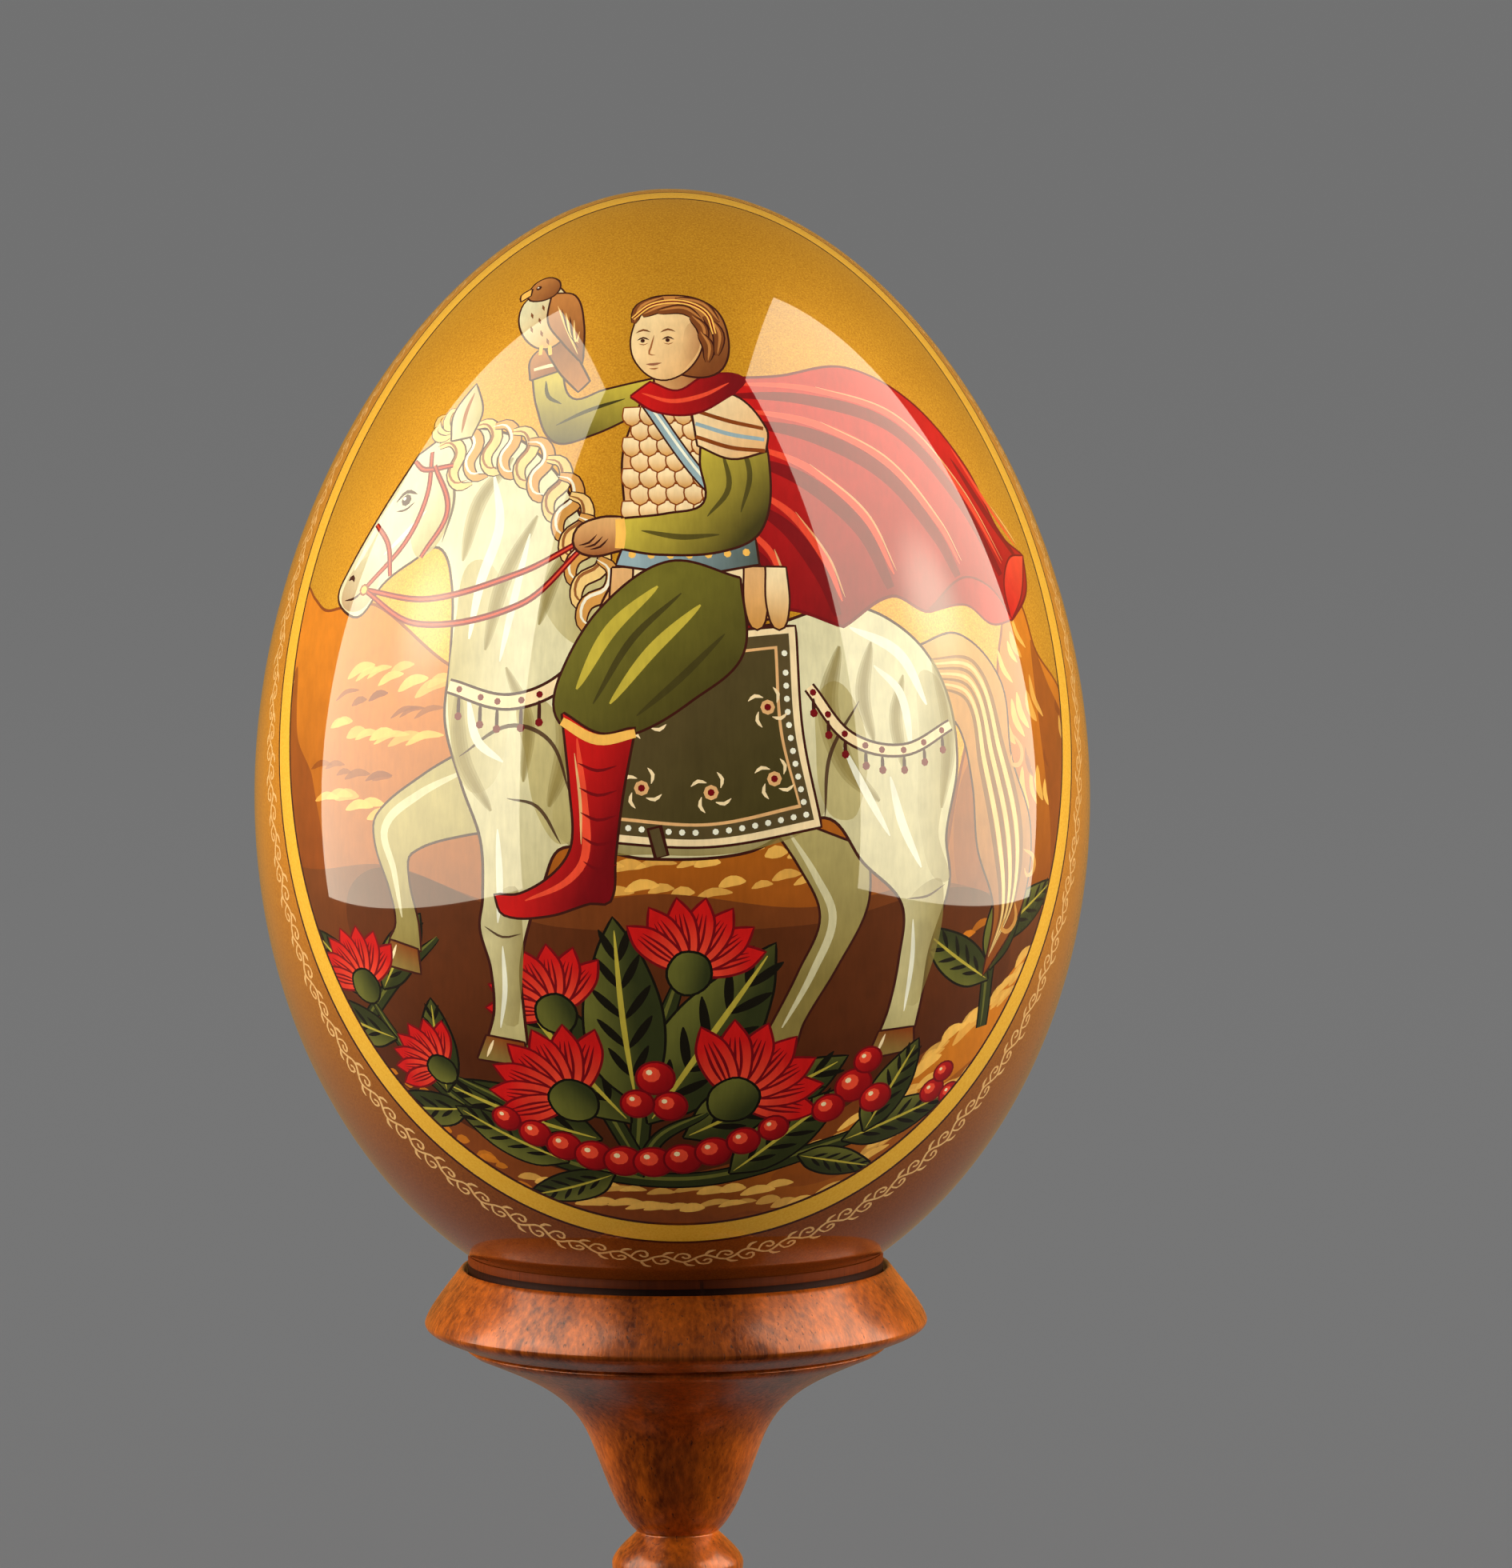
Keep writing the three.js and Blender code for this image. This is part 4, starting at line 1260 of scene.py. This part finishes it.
def use(tree, name, values):
    """A node group placed in a tree, with its own values. Gives the group's outputs."""
    node = add(tree, "Group")
    node.node_tree = bpy.data.node_groups[name]
    fill(tree, node, values)
    return node.outputs


print("node groups so far:", len(bpy.data.node_groups))

# %% Common nodes
def linear(red, green, blue):
    """A pigment as a shader socket takes it, with its alpha."""
    return (*pigment(red, green, blue), 1.0)


def finish(name, values):
    """A material with its Principled shader, ready for more nodes."""
    material = bpy.data.materials.new(name)
    material.use_nodes = True
    tree = material.node_tree
    shader = next(node for node in tree.nodes if node.type == "BSDF_PRINCIPLED")
    fill(tree, shader, values)
    return material, tree, shader


def noise(tree, where, scale, detail=2.0, rough=0.5):
    """Soft noise from 0 to 1."""
    values = {"Vector": where, "Scale": scale, "Detail": detail, "Roughness": rough}
    return add(tree, "TexNoise", values).outputs["Fac"]


def ramp(tree, value, low, high, start=0.0, end=1.0, **how):
    """Runs from start to end while the value runs from low to high."""
    values = {"Value": value, "From Min": low, "From Max": high, "To Min": start, "To Max": end}
    return add(tree, "MapRange", values, **how).outputs["Result"]


def calc(tree, operation, *values, **how):
    """One step of arithmetic."""
    return add(tree, "Math", dict(enumerate(values)), operation=operation, **how).outputs[0]


def mix(tree, share, a, b, kind="RGBA"):
    """A blend from a to b."""
    return add(tree, "Mix", {"Factor": share, "A": a, "B": b}, data_type=kind).outputs["Result"]


def bump(tree, height, strength, distance):
    """The normals of a surface that stands up by some millimetres where a height is 1."""
    values = {"Height": height, "Strength": strength, "Distance": distance * MM}
    return add(tree, "Bump", values).outputs["Normal"]


print("a mid grey in linear light:", np.round(linear(128, 128, 128), 3))

# %% [markdown]
# ## Gold dust
# The ground is bronze and gold powder under lacquer. Seen close, it is a fine grain of bright and dull
# specks over slow drifts where the powder lies thicker. The same group serves the sky, the outer ground,
# the band and the vine.

# %% Gold dust group
def make_gold_dust():
    takes = {"Dull": ("Color", linear(190, 125, 30)), "Bright": ("Color", linear(235, 185, 80)),
             "Grain": ("Float", 5200.0), "Drift": ("Float", 0.5)}
    tree, take, give = group("GoldDust", takes, {"Color": "Color", "Speck": "Float", "Height": "Float"})
    where = add(tree, "TexCoord").outputs["Object"]
    grain = noise(tree, where, take["Grain"], 2.0, 0.7)
    speck = ramp(tree, grain, 0.2, 0.8)
    drift = calc(tree, "SUBTRACT", noise(tree, where, 55.0, 4.0, 0.6), 0.5)
    drifted = calc(tree, "MULTIPLY_ADD", drift, take["Drift"], speck, use_clamp=True)
    mixed = mix(tree, drifted, take["Dull"], take["Bright"])
    fill(tree, give, {"Color": mixed, "Speck": speck, "Height": grain})


make_gold_dust()
print("node groups:", [tree.name for tree in bpy.data.node_groups])

# %% [markdown]
# ## Brushwork
# Tempera is laid on in thin strokes, so a flat colour is never quite flat: it has streaks of thicker
# paint and soft clouds where two layers met. This group varies a pigment a little and gives the strokes a
# slight height.

# %% Brushwork group
def make_brushwork():
    takes = {"Pigment": ("Color", (1, 1, 1, 1)), "Streaks": ("Float", 0.16), "Clouds": ("Float", 0.2)}
    tree, take, give = group("Brushwork", takes, {"Color": "Color", "Height": "Float"})
    where = add(tree, "TexCoord").outputs["Object"]
    slant = {"Vector": where, "Rotation": (0, 0.6, 0.3), "Scale": (2600, 900, 420)}
    streak = noise(tree, add(tree, "Mapping", slant).outputs["Vector"], 1.0, 3.0, 0.6)
    cloud = noise(tree, where, 420.0, 3.0)
    parts = [calc(tree, "MULTIPLY", calc(tree, "SUBTRACT", value, 0.5), amount)
             for value, amount in ((streak, take["Streaks"]), (cloud, take["Clouds"]))]
    gain = calc(tree, "MULTIPLY_ADD", calc(tree, "ADD", *parts), 2.0, 1.0)
    varied = add(tree, "VectorMath", {0: take["Pigment"], "Scale": gain}, operation="SCALE")
    fill(tree, give, {"Color": varied.outputs["Vector"], "Height": streak})


make_brushwork()
print("node groups:", [tree.name for tree in bpy.data.node_groups])

# %% [markdown]
# ## The egg's finishes
# Over everything lies a thick clear lacquer, polished like glass. In the shader that is the coat: its own
# smooth layer above a rougher base. The base keeps its bumps, and the coat stays flat, so the reflections
# stay clean.

# %% Egg finishes
LACQUER = {"Coat Weight": 1.0, "Coat Roughness": 0.02, "Coat IOR": 1.6, "Specular IOR Level": 0.05}
GOLD_RELIEF = 0.03  # millimetres that the powder stands up
PAINT_RELIEF = 0.04
PAINTED_SHADE_BELOW = 40 * MM  # the ground is all brown, as painted shade, this far below the egg's middle


def gold_finish(name, dull, bright, grain, drift, metallic, height=0.15):
    material, tree, shader = finish(name, {"Metallic": metallic, **LACQUER})
    powder = {"Dull": linear(*dull), "Bright": linear(*bright), "Grain": grain, "Drift": drift}
    gold = use(tree, "GoldDust", powder)
    fill(tree, shader, {"Base Color": gold["Color"],
                        "Roughness": ramp(tree, gold["Speck"], 0, 1, 0.55, 0.38),
                        "Normal": bump(tree, gold["Height"], height, GOLD_RELIEF)})
    return material


def ground_finish():
    """The bare ground outside the frame: warm gold above, and brown under the lacquer lower down, as
    painted shade.
    """
    material, tree, shader = finish("egg_outer_ground", {"Metallic": 0.3, "Roughness": 0.45, **LACQUER})
    upper = use(tree, "GoldDust", {"Dull": linear(180, 104, 16), "Bright": linear(224, 148, 38),
                                   "Grain": 6000.0, "Drift": 0.6})
    # The brown dust lower down is painted shade and a painted reflection of the dark below the egg.
    lower = use(tree, "GoldDust", {"Dull": linear(110, 46, 10), "Bright": linear(158, 80, 22),
                                   "Grain": 6000.0, "Drift": 0.7})
    height = add(tree, "SeparateXYZ", {"Vector": add(tree, "TexCoord").outputs["Object"]}).outputs["Z"]
    rise = ramp(tree, height, egg_middle.z - PAINTED_SHADE_BELOW, egg_middle.z, interpolation_type="SMOOTHSTEP")
    fill(tree, shader, {"Base Color": mix(tree, rise, lower["Color"], upper["Color"]),
                        "Normal": bump(tree, upper["Height"], 0.15, GOLD_RELIEF)})
    return material


def paint_finish():
    material, tree, shader = finish("miniature_paint", {"Roughness": 0.5, **LACQUER})
    tint = add(tree, "VertexColor", layer_name="Pigment").outputs["Color"]
    strokes = use(tree, "Brushwork", {"Pigment": tint, "Streaks": 0.16, "Clouds": 0.2})
    fill(tree, shader, {"Base Color": strokes["Color"],
                        "Normal": bump(tree, strokes["Height"], 0.2, PAINT_RELIEF)})
    return material


egg_finishes = {
    GROUND: ground_finish(),
    SKY: gold_finish("sky_gold", dull=(162, 102, 14), bright=(216, 158, 42), grain=6500.0, drift=0.5,
                     metallic=0.25),
    PAINT: paint_finish(),
    BAND: gold_finish("frame_gold", dull=(234, 164, 32), bright=(250, 194, 66), grain=5000.0, drift=0.3,
                      metallic=0.15, height=0.08),
    VINE: gold_finish("filigree_gold", dull=(226, 158, 84), bright=(254, 208, 134), grain=3600.0,
                      drift=0.4, metallic=0.15),
}
for kind in sorted(egg_finishes):
    egg.data.materials.append(egg_finishes[kind])
print("egg finishes:", [m.name for m in egg.data.materials])

# %% [markdown]
# ## The stand
# The stand is turned from one piece of red-brown hardwood: a round foot, a bell, a slim stem with a bead,
# and a cup whose rim slopes up to the egg. The solid in the frame has coarse facets, so the same outline
# is turned again here with many more steps, in the shape of a few curves.

# %% Places on the stand
stand_low, stand_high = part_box("stand")
STAND_HEIGHT = (stand_high.z - stand_low.z) / MM
FOOT_RADIUS = (stand_high.x - stand_low.x) / 2 / MM
FOOT_HEIGHT = 3.4
STEP_RADIUS = 21.7
STEP = (21, 4.0)  # from here to the rim, each place is a radius and a height in millimetres
BELL = (19, 5.6)
STEM = (3.7, 26.2)
BEAD = (5.55, 29.1)
NECK = (3.4, 31.8)
FLARE = (7.2, 39.5)
CUP = (17.2, 47.2)
GROOVE = [(17.72, 47.58), (17.78, 47.7), (17.5, 47.84), (17.34, 47.9), (17.5, 47.97), (18.3, 48.05),
          (18.5, 48.14)]
RIM_UNDERSIDE = (20.2, 48.84)
RIM = (21.2, 49.8)
MOUTH_RADIUS = 18.1
COLLAR_RADIUS = 17.52  # a thin wall that hugs the egg inside the mouth
SEAT_DEPTH = 0.6
DISH_STRIDE = 14  # one point in so many of the egg's own curve
SEAT_GAP = 0.03
PAINTED_SHADOW_HEIGHT = 0.5  # how far above the rim's edge the collar wall rises, and with it the painted shadow behind the rim's edge
print("height of the stand and radius of its foot in mm:", round(STAND_HEIGHT, 2), round(FOOT_RADIUS, 2))

# %% Stand outline
CURVE_STEPS = 22


def curve_to(outline, end, start_handle, end_handle):
    """Goes on from the outline's last point to a new one, with a handle given as a step from each end."""
    p = np.array(outline[-1]), np.add(outline[-1], start_handle), np.add(end, end_handle), np.array(end)
    for t in np.arange(1, CURVE_STEPS + 1) / CURVE_STEPS:
        s = 1 - t
        outline.append(tuple(s**3 * p[0] + 3 * s**2 * t * p[1] + 3 * s * t**2 * p[2] + t**3 * p[3]))


def dish_outline():
    """The collar's wall, and the dish that follows the egg inside it."""
    rise = np.linspace(-1, -0.8, 400)  # the lowest part of the egg
    way = np.stack([np.sqrt(1 - rise**2), 0 * rise, rise], axis=1)
    dish = on_egg(way) + outwards(way) * SEAT_GAP
    dish = dish[dish[:, 0] < COLLAR_RADIUS][::-DISH_STRIDE]
    height = dish[:, 2] + egg_middle.z / MM
    wall = [(COLLAR_RADIUS, STAND_HEIGHT + PAINTED_SHADOW_HEIGHT), (COLLAR_RADIUS, height[0] - 0.02)]
    return wall + list(zip(dish[:-1, 0], height[:-1])) + [(0, height[-1])]


def stand_outline():
    """Points of (radius, height) in millimetres, from the middle of the underside to that of the dish."""
    outline = [(0, 0), (FOOT_RADIUS - 0.8, 0), (FOOT_RADIUS - 0.55, 0.05), (FOOT_RADIUS - 0.1, 0.5),
               (FOOT_RADIUS, 0.8), (FOOT_RADIUS, 2.5)]
    curve_to(outline, (FOOT_RADIUS - 0.8, FOOT_HEIGHT), (0, 0.5), (0.5, 0))
    outline.append((STEP_RADIUS, FOOT_HEIGHT))
    curve_to(outline, STEP, (-0.5, 0), (0, -0.3))
    curve_to(outline, BELL, (0, 1), (1.3, 0))
    curve_to(outline, STEM, (-8, 1.6), (2.2, -13.6))
    curve_to(outline, BEAD, (0.5, 0.3), (0, -1.7))
    curve_to(outline, NECK, (0, 0.9), (0.6, -0.6))
    curve_to(outline, FLARE, (1.7, 1.5), (-1.1, -2.8))
    curve_to(outline, CUP, (1.6, 4.2), (-5, -2.1))
    outline += GROOVE
    outline.append(RIM_UNDERSIDE)
    curve_to(outline, RIM, (0.5, 0.25), (0, -0.45))
    curve_to(outline, (MOUTH_RADIUS, STAND_HEIGHT), (-0.2, 0.9), (1.8, -2.3))
    outline += [(MOUTH_RADIUS - 0.15, STAND_HEIGHT), (MOUTH_RADIUS - 0.3, STAND_HEIGHT - 0.1),
                (MOUTH_RADIUS - 0.4, STAND_HEIGHT - SEAT_DEPTH), (COLLAR_RADIUS, STAND_HEIGHT - SEAT_DEPTH)]
    return np.array(outline + dish_outline())


print("points of the stand's outline:", len(stand_outline()))

# %% Turn the outline
TURN_STEPS = 192


def turn_outline(outline):
    """Corners, faces and texture places of an outline turned round the Z axis."""
    ring = outline[1:-1]
    spots = [(0, 0, 0)]
    for a in np.linspace(0, 2 * np.pi, TURN_STEPS, endpoint=False):
        spots += [(r * math.cos(a) * MM, r * math.sin(a) * MM, z * MM) for r, z in ring]
    spots.append((0, 0, outline[-1][1] * MM))
    length = np.concatenate([[0], np.cumsum(np.linalg.norm(np.diff(outline, axis=0), axis=1))])
    length /= length[-1]
    faces, places = [], []
    for i in range(TURN_STEPS):
        here, following = 1 + i * len(ring), 1 + (i + 1) % TURN_STEPS * len(ring)
        u, v = i / TURN_STEPS, (i + 1) / TURN_STEPS
        faces.append((0, following, here))
        places += [((u + v) / 2, 0), (v, length[1]), (u, length[1])]
        for k in range(len(ring) - 1):
            faces.append((here + k, following + k, following + k + 1, here + k + 1))
            places += [(u, length[k + 1]), (v, length[k + 1]), (v, length[k + 2]), (u, length[k + 2])]
        faces.append((here + len(ring) - 1, following + len(ring) - 1, len(spots) - 1))
        places += [(u, length[-2]), (v, length[-2]), ((u + v) / 2, 1)]
    return spots, faces, places


stand_spots, stand_faces, stand_places = turn_outline(stand_outline())
print("corners and faces of the stand:", len(stand_spots), len(stand_faces))

# %% Make the stand
VARNISHED, UNDERSIDE, SHADED_SEAT, PAINTED_SHADOW = range(4)
DISH_DEPTH = 6  # millimetres below the rim's edge, and more than the dish needs
COLLAR_MARGIN = 0.05


def stand_finish(spot):
    """Which finish a spot has. Inside the rim's edge the wood is matte, darkened as painted shade and
    painted shadow.
    """
    if spot.z < 1e-6:
        return UNDERSIDE
    outside = math.hypot(spot.x, spot.y) > (COLLAR_RADIUS + COLLAR_MARGIN) * MM
    if outside or spot.z < (STAND_HEIGHT - DISH_DEPTH) * MM:
        return VARNISHED
    # Up to a little above the rim's edge the mouth is a near-black painted shadow; higher up it is darker
    # wood as painted shade.
    return PAINTED_SHADOW if spot.z < (STAND_HEIGHT + PAINTED_SHADOW_HEIGHT) * MM else SHADED_SEAT


def make_stand(spots, faces, places):
    stand = make_piece("turned_stand", spots, faces, places)
    for face in stand.data.polygons:
        face.material_index = stand_finish(face.center)
    stand.data.validate()
    return stand


stand = make_stand(stand_spots, stand_faces, stand_places)
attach(stand, "root")
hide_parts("stand")
print("stand triangles:", sum(len(face.vertices) - 2 for face in stand.data.polygons))

# %% [markdown]
# ## Red-brown wood
# The grain runs up the stand, because that is how a turner mounts the blank. Long noise stretched along Z
# makes the fibres, slower noise makes the growth bands, and short dark dashes make the open pores.

# %% Wood group
def make_wood():
    takes = {"Light": ("Color", linear(186, 98, 48)), "Dark": ("Color", linear(108, 48, 20)),
             "Pore": ("Color", linear(46, 18, 9)), "Pore Amount": ("Float", 0.8)}
    tree, take, give = group("TurnedWood", takes, {"Color": "Color", "Height": "Float", "Pores": "Float"})
    where = add(tree, "TexCoord").outputs["Object"]
    warp = add(tree, "TexNoise", {"Vector": where, "Scale": 60.0, "Detail": 2.0}).outputs["Color"]
    pushed = add(tree, "VectorMath", {0: warp, "Scale": 0.0016}, operation="SCALE").outputs["Vector"]
    bent = add(tree, "VectorMath", {0: where, 1: pushed}, operation="ADD").outputs["Vector"]

    def long_noise(scale, detail, rough):
        stretched = add(tree, "Mapping", {"Vector": bent, "Scale": scale}).outputs["Vector"]
        return noise(tree, stretched, 1.0, detail, rough)

    bands = ramp(tree, long_noise((420, 200, 10), 3.0, 0.55), 0.32, 0.7)
    fibres = ramp(tree, long_noise((2300, 2300, 70), 4.0, 0.65), 0.36, 0.66)
    pores = ramp(tree, long_noise((4600, 4600, 300), 1.0, 0.5), 0.66, 0.76)
    pores = calc(tree, "MULTIPLY", pores, take["Pore Amount"])
    tone = mix(tree, 0.44, bands, fibres, kind="FLOAT")
    wood = mix(tree, tone, take["Dark"], take["Light"])
    fill(tree, give, {"Color": mix(tree, pores, wood, take["Pore"]),
                      "Height": calc(tree, "SUBTRACT", fibres, pores), "Pores": pores})


make_wood()
print("node groups:", [tree.name for tree in bpy.data.node_groups])

# %% Stand finishes
WOOD_RELIEF = 0.05  # millimetres


def wood_finish(name, light, dark, varnish=0.0, smooth=0.5, relief=0.1):
    """Wood in two tones. `varnish` is 1 where it is polished, and `smooth` is its roughness."""
    material, tree, shader = finish(name, {
        "Coat Weight": 0.35 * varnish, "Coat Roughness": 0.18, "Coat IOR": 1.5,
        "Specular IOR Level": 0.05 + 0.23 * varnish, "Metallic": 0.12 * varnish,
    })
    wood = use(tree, "TurnedWood", {"Light": linear(*light), "Dark": linear(*dark)})
    fill(tree, shader, {"Base Color": wood["Color"],
                        "Roughness": ramp(tree, wood["Pores"], 0, 1, smooth, 0.6),
                        "Normal": bump(tree, wood["Height"], relief, WOOD_RELIEF)})
    return material


stand_finishes = {
    VARNISHED: wood_finish("varnished_wood", light=(228, 110, 20), dark=(78, 21, 3), varnish=1.0,
                           smooth=0.32, relief=0.16),
    UNDERSIDE: wood_finish("bare_underside", light=(178, 118, 72), dark=(126, 74, 40), relief=0.4),
    # Darker matte wood inside the cup's mouth, toned as painted shade of the recess under the egg.
    SHADED_SEAT: wood_finish("shaded_seat", light=(112, 46, 9), dark=(88, 33, 6)),
    # A near-black brown as a painted shadow in the gap where the egg meets the cup.
    PAINTED_SHADOW: wood_finish("painted_shadow_seam", light=(40, 12, 4), dark=(26, 8, 3)),
}
for kind in sorted(stand_finishes):
    stand.data.materials.append(stand_finishes[kind])
print("stand finishes:", [m.name for m in stand.data.materials])

# %% [markdown]
# ## Light and floor
# Two tall soft panels stand close to the egg, left and right, and their reflections lie on the lacquer as
# pale veils, each a little brighter where its lamp sits behind the cloth. A reflection needs a brighter
# panel than the paint can bear, so the panels only show in glossy surfaces. Larger soft lamps further
# away, which no reflection shows, light the paint. Each piece has its own pair of lamps, linked to it
# alone, as a photographer flags a lamp off the floor, and the stand's pair is set further round to
# rake along the turned wood.

# %% A soft light
AREA_LIGHT_FACTOR = 4  # Blender spreads an area light's power over four times its area


def soft_light(name, middle, facing, width, height, radiance, only_mirrored=False):
    """A rectangular light that faces a spot. It either lights the surfaces or only shows in them."""
    data = bpy.data.lights.new(name, "AREA")
    data.shape = "RECTANGLE"
    data.size, data.size_y = width, height
    data.energy = radiance * AREA_LIGHT_FACTOR * width * height
    light = bpy.data.objects.new(name, data)
    scene.collection.objects.link(light)
    turn = (facing - middle).to_track_quat("-Z", "Y").to_matrix().to_4x4()
    light.matrix_world = Matrix.Translation(middle) @ turn
    light.visible_camera = False
    light.visible_glossy = only_mirrored
    light.visible_diffuse = not only_mirrored
    return light


def beside_egg(turn, distance, height):
    """A spot at some degrees from the camera's side of the egg, at a height above the floor."""
    turn = math.radians(turn)
    return Vector((math.sin(turn) * distance, -math.cos(turn) * distance, height))


print("one metre in front of the egg:", beside_egg(0, 1, 0))

# %% A panel's bright spot
PANEL_LOW = 40 * MM
HOT_SPOT_HEIGHT = 178 * MM
HOT_SPOT_RADIUS = 55 * MM
HOT_SPOT_GAIN = 0.9


def add_hot_spot(panel):
    """Makes a panel brighter round its lamp. Parametric runs from 0 to 1 across and up the panel."""
    panel.data.use_nodes = True
    tree = panel.data.node_tree
    emission = next(node for node in tree.nodes if node.type == "EMISSION")
    size = Vector((panel.data.size, panel.data.size_y, 0))
    spot = Vector((size.x / 2, HOT_SPOT_HEIGHT - PANEL_LOW, 0))
    where = add(tree, "NewGeometry").outputs["Parametric"]
    place = add(tree, "VectorMath", {0: where, 1: size}, operation="MULTIPLY").outputs["Vector"]
    away = add(tree, "VectorMath", {0: place, 1: spot}, operation="DISTANCE").outputs["Value"]
    glow = ramp(tree, away, 0, HOT_SPOT_RADIUS, 1 + HOT_SPOT_GAIN, 1, interpolation_type="SMOOTHERSTEP")
    fill(tree, emission, {"Strength": glow})


print("height of the bright spot on a panel:", HOT_SPOT_HEIGHT - PANEL_LOW)

# %% Place the panels and lamps
PANEL_DISTANCE = 200 * MM
PANEL_HIGH = 560 * MM
PANEL_RADIANCE = 3.7
PANEL_TINT = (1.0, 0.93, 0.74)
PANELS = {"left": (-72, 260 * MM), "right": (80, 245 * MM)}  # degrees from the camera's side, and width
LAMP_DISTANCE = 1000 * MM
LAMP_HEIGHT = 330 * MM
LAMP_SIZE = 600 * MM
LAMP_RADIANCE = {"left": 9.6, "right": 7.8}
LAMP_TURNS = {"painted_egg": 70, "turned_stand": 98}  # degrees from the camera's side
TOP_LAMP_HEIGHT = 1300 * MM
TOP_LAMP_RADIANCE = 0.3


def light_scene():
    for label, (turn, width) in PANELS.items():
        middle = beside_egg(turn, PANEL_DISTANCE, (PANEL_LOW + PANEL_HIGH) / 2)
        level = Vector((0, 0, middle.z))
        height = PANEL_HIGH - PANEL_LOW
        panel = soft_light(label + "_panel", middle, level, width, height, PANEL_RADIANCE,
                           only_mirrored=True)
        panel.data.color = PANEL_TINT
        add_hot_spot(panel)
        for piece in (egg, stand):
            middle = beside_egg(math.copysign(LAMP_TURNS[piece.name], turn), LAMP_DISTANCE, LAMP_HEIGHT)
            name = label + "_lamp_of_" + piece.name
            lamp = soft_light(name, middle, egg_middle, LAMP_SIZE, LAMP_SIZE, LAMP_RADIANCE[label])
            lamp.light_linking.receiver_collection = bpy.data.collections.new(name)
            lamp.light_linking.receiver_collection.objects.link(piece)
    above = Vector((0, LAMP_DISTANCE / 2, TOP_LAMP_HEIGHT))
    soft_light("top_lamp", above, egg_middle, LAMP_SIZE, LAMP_SIZE, TOP_LAMP_RADIANCE)


light_scene()

# %% Floor and surrounding light
FLOOR_RADIUS = 30.0
FLOOR_GREY = 0.64
SKY_GREY = 0.26
BELOW_GREY = 0.05  # the dark table edge below, seen by the paint and the wood only
FLOOR_STEPS = 96
# What the lacquer reflects where it sees no panel
MIRRORED_FRONT = 0.1  # the strength of a dark room behind the camera
MIRRORED_BACK = (0.30, 0.18, 0.05, 1)  # warm walls to the sides and behind the egg
MIRRORED_BELOW = (0.22, 0.19, 0.17, 1)  # the grey paper it stands on


def grey(level):
    """A plain grey as a shader socket takes it."""
    return (level, level, level, 1)


def make_floor():
    mesh = bpy.data.meshes.new("floor")
    turn = np.linspace(0, 2 * np.pi, FLOOR_STEPS, endpoint=False)
    mesh.from_pydata([(FLOOR_RADIUS * math.cos(a), FLOOR_RADIUS * math.sin(a), 0) for a in turn], [],
                     [range(FLOOR_STEPS)])
    floor = bpy.data.objects.new("floor", mesh)
    scene.collection.objects.link(floor)
    paper = {"Base Color": grey(FLOOR_GREY), "Roughness": 0.9, "Specular IOR Level": 0.0}
    mesh.materials.append(finish("floor_paper", paper)[0])
    floor.visible_glossy = False
    floor.visible_diffuse = False


def make_world():
    world = bpy.data.worlds.new("studio")
    world.use_nodes = True
    tree = world.node_tree
    way = add(tree, "SeparateXYZ", {"Vector": add(tree, "TexCoord").outputs["Generated"]}).outputs
    mirrored = add(tree, "LightPath").outputs["Is Glossy Ray"]
    room = mix(tree, ramp(tree, way["Z"], -0.5, 0.0), MIRRORED_BELOW, MIRRORED_BACK)
    ambient = mix(tree, ramp(tree, way["Z"], -0.15, 0.15), grey(BELOW_GREY), grey(SKY_GREY))
    front = ramp(tree, way["Y"], -0.2, 0.9, MIRRORED_FRONT, 1.0)
    fill(tree, tree.nodes["Background"], {"Color": mix(tree, mirrored, ambient, room),
                                          "Strength": mix(tree, mirrored, grey(1), front)})
    scene.world = world
    scene.view_settings.view_transform = "Standard"


make_floor()
make_world()
print("world and view:", scene.world.name, scene.view_settings.view_transform)
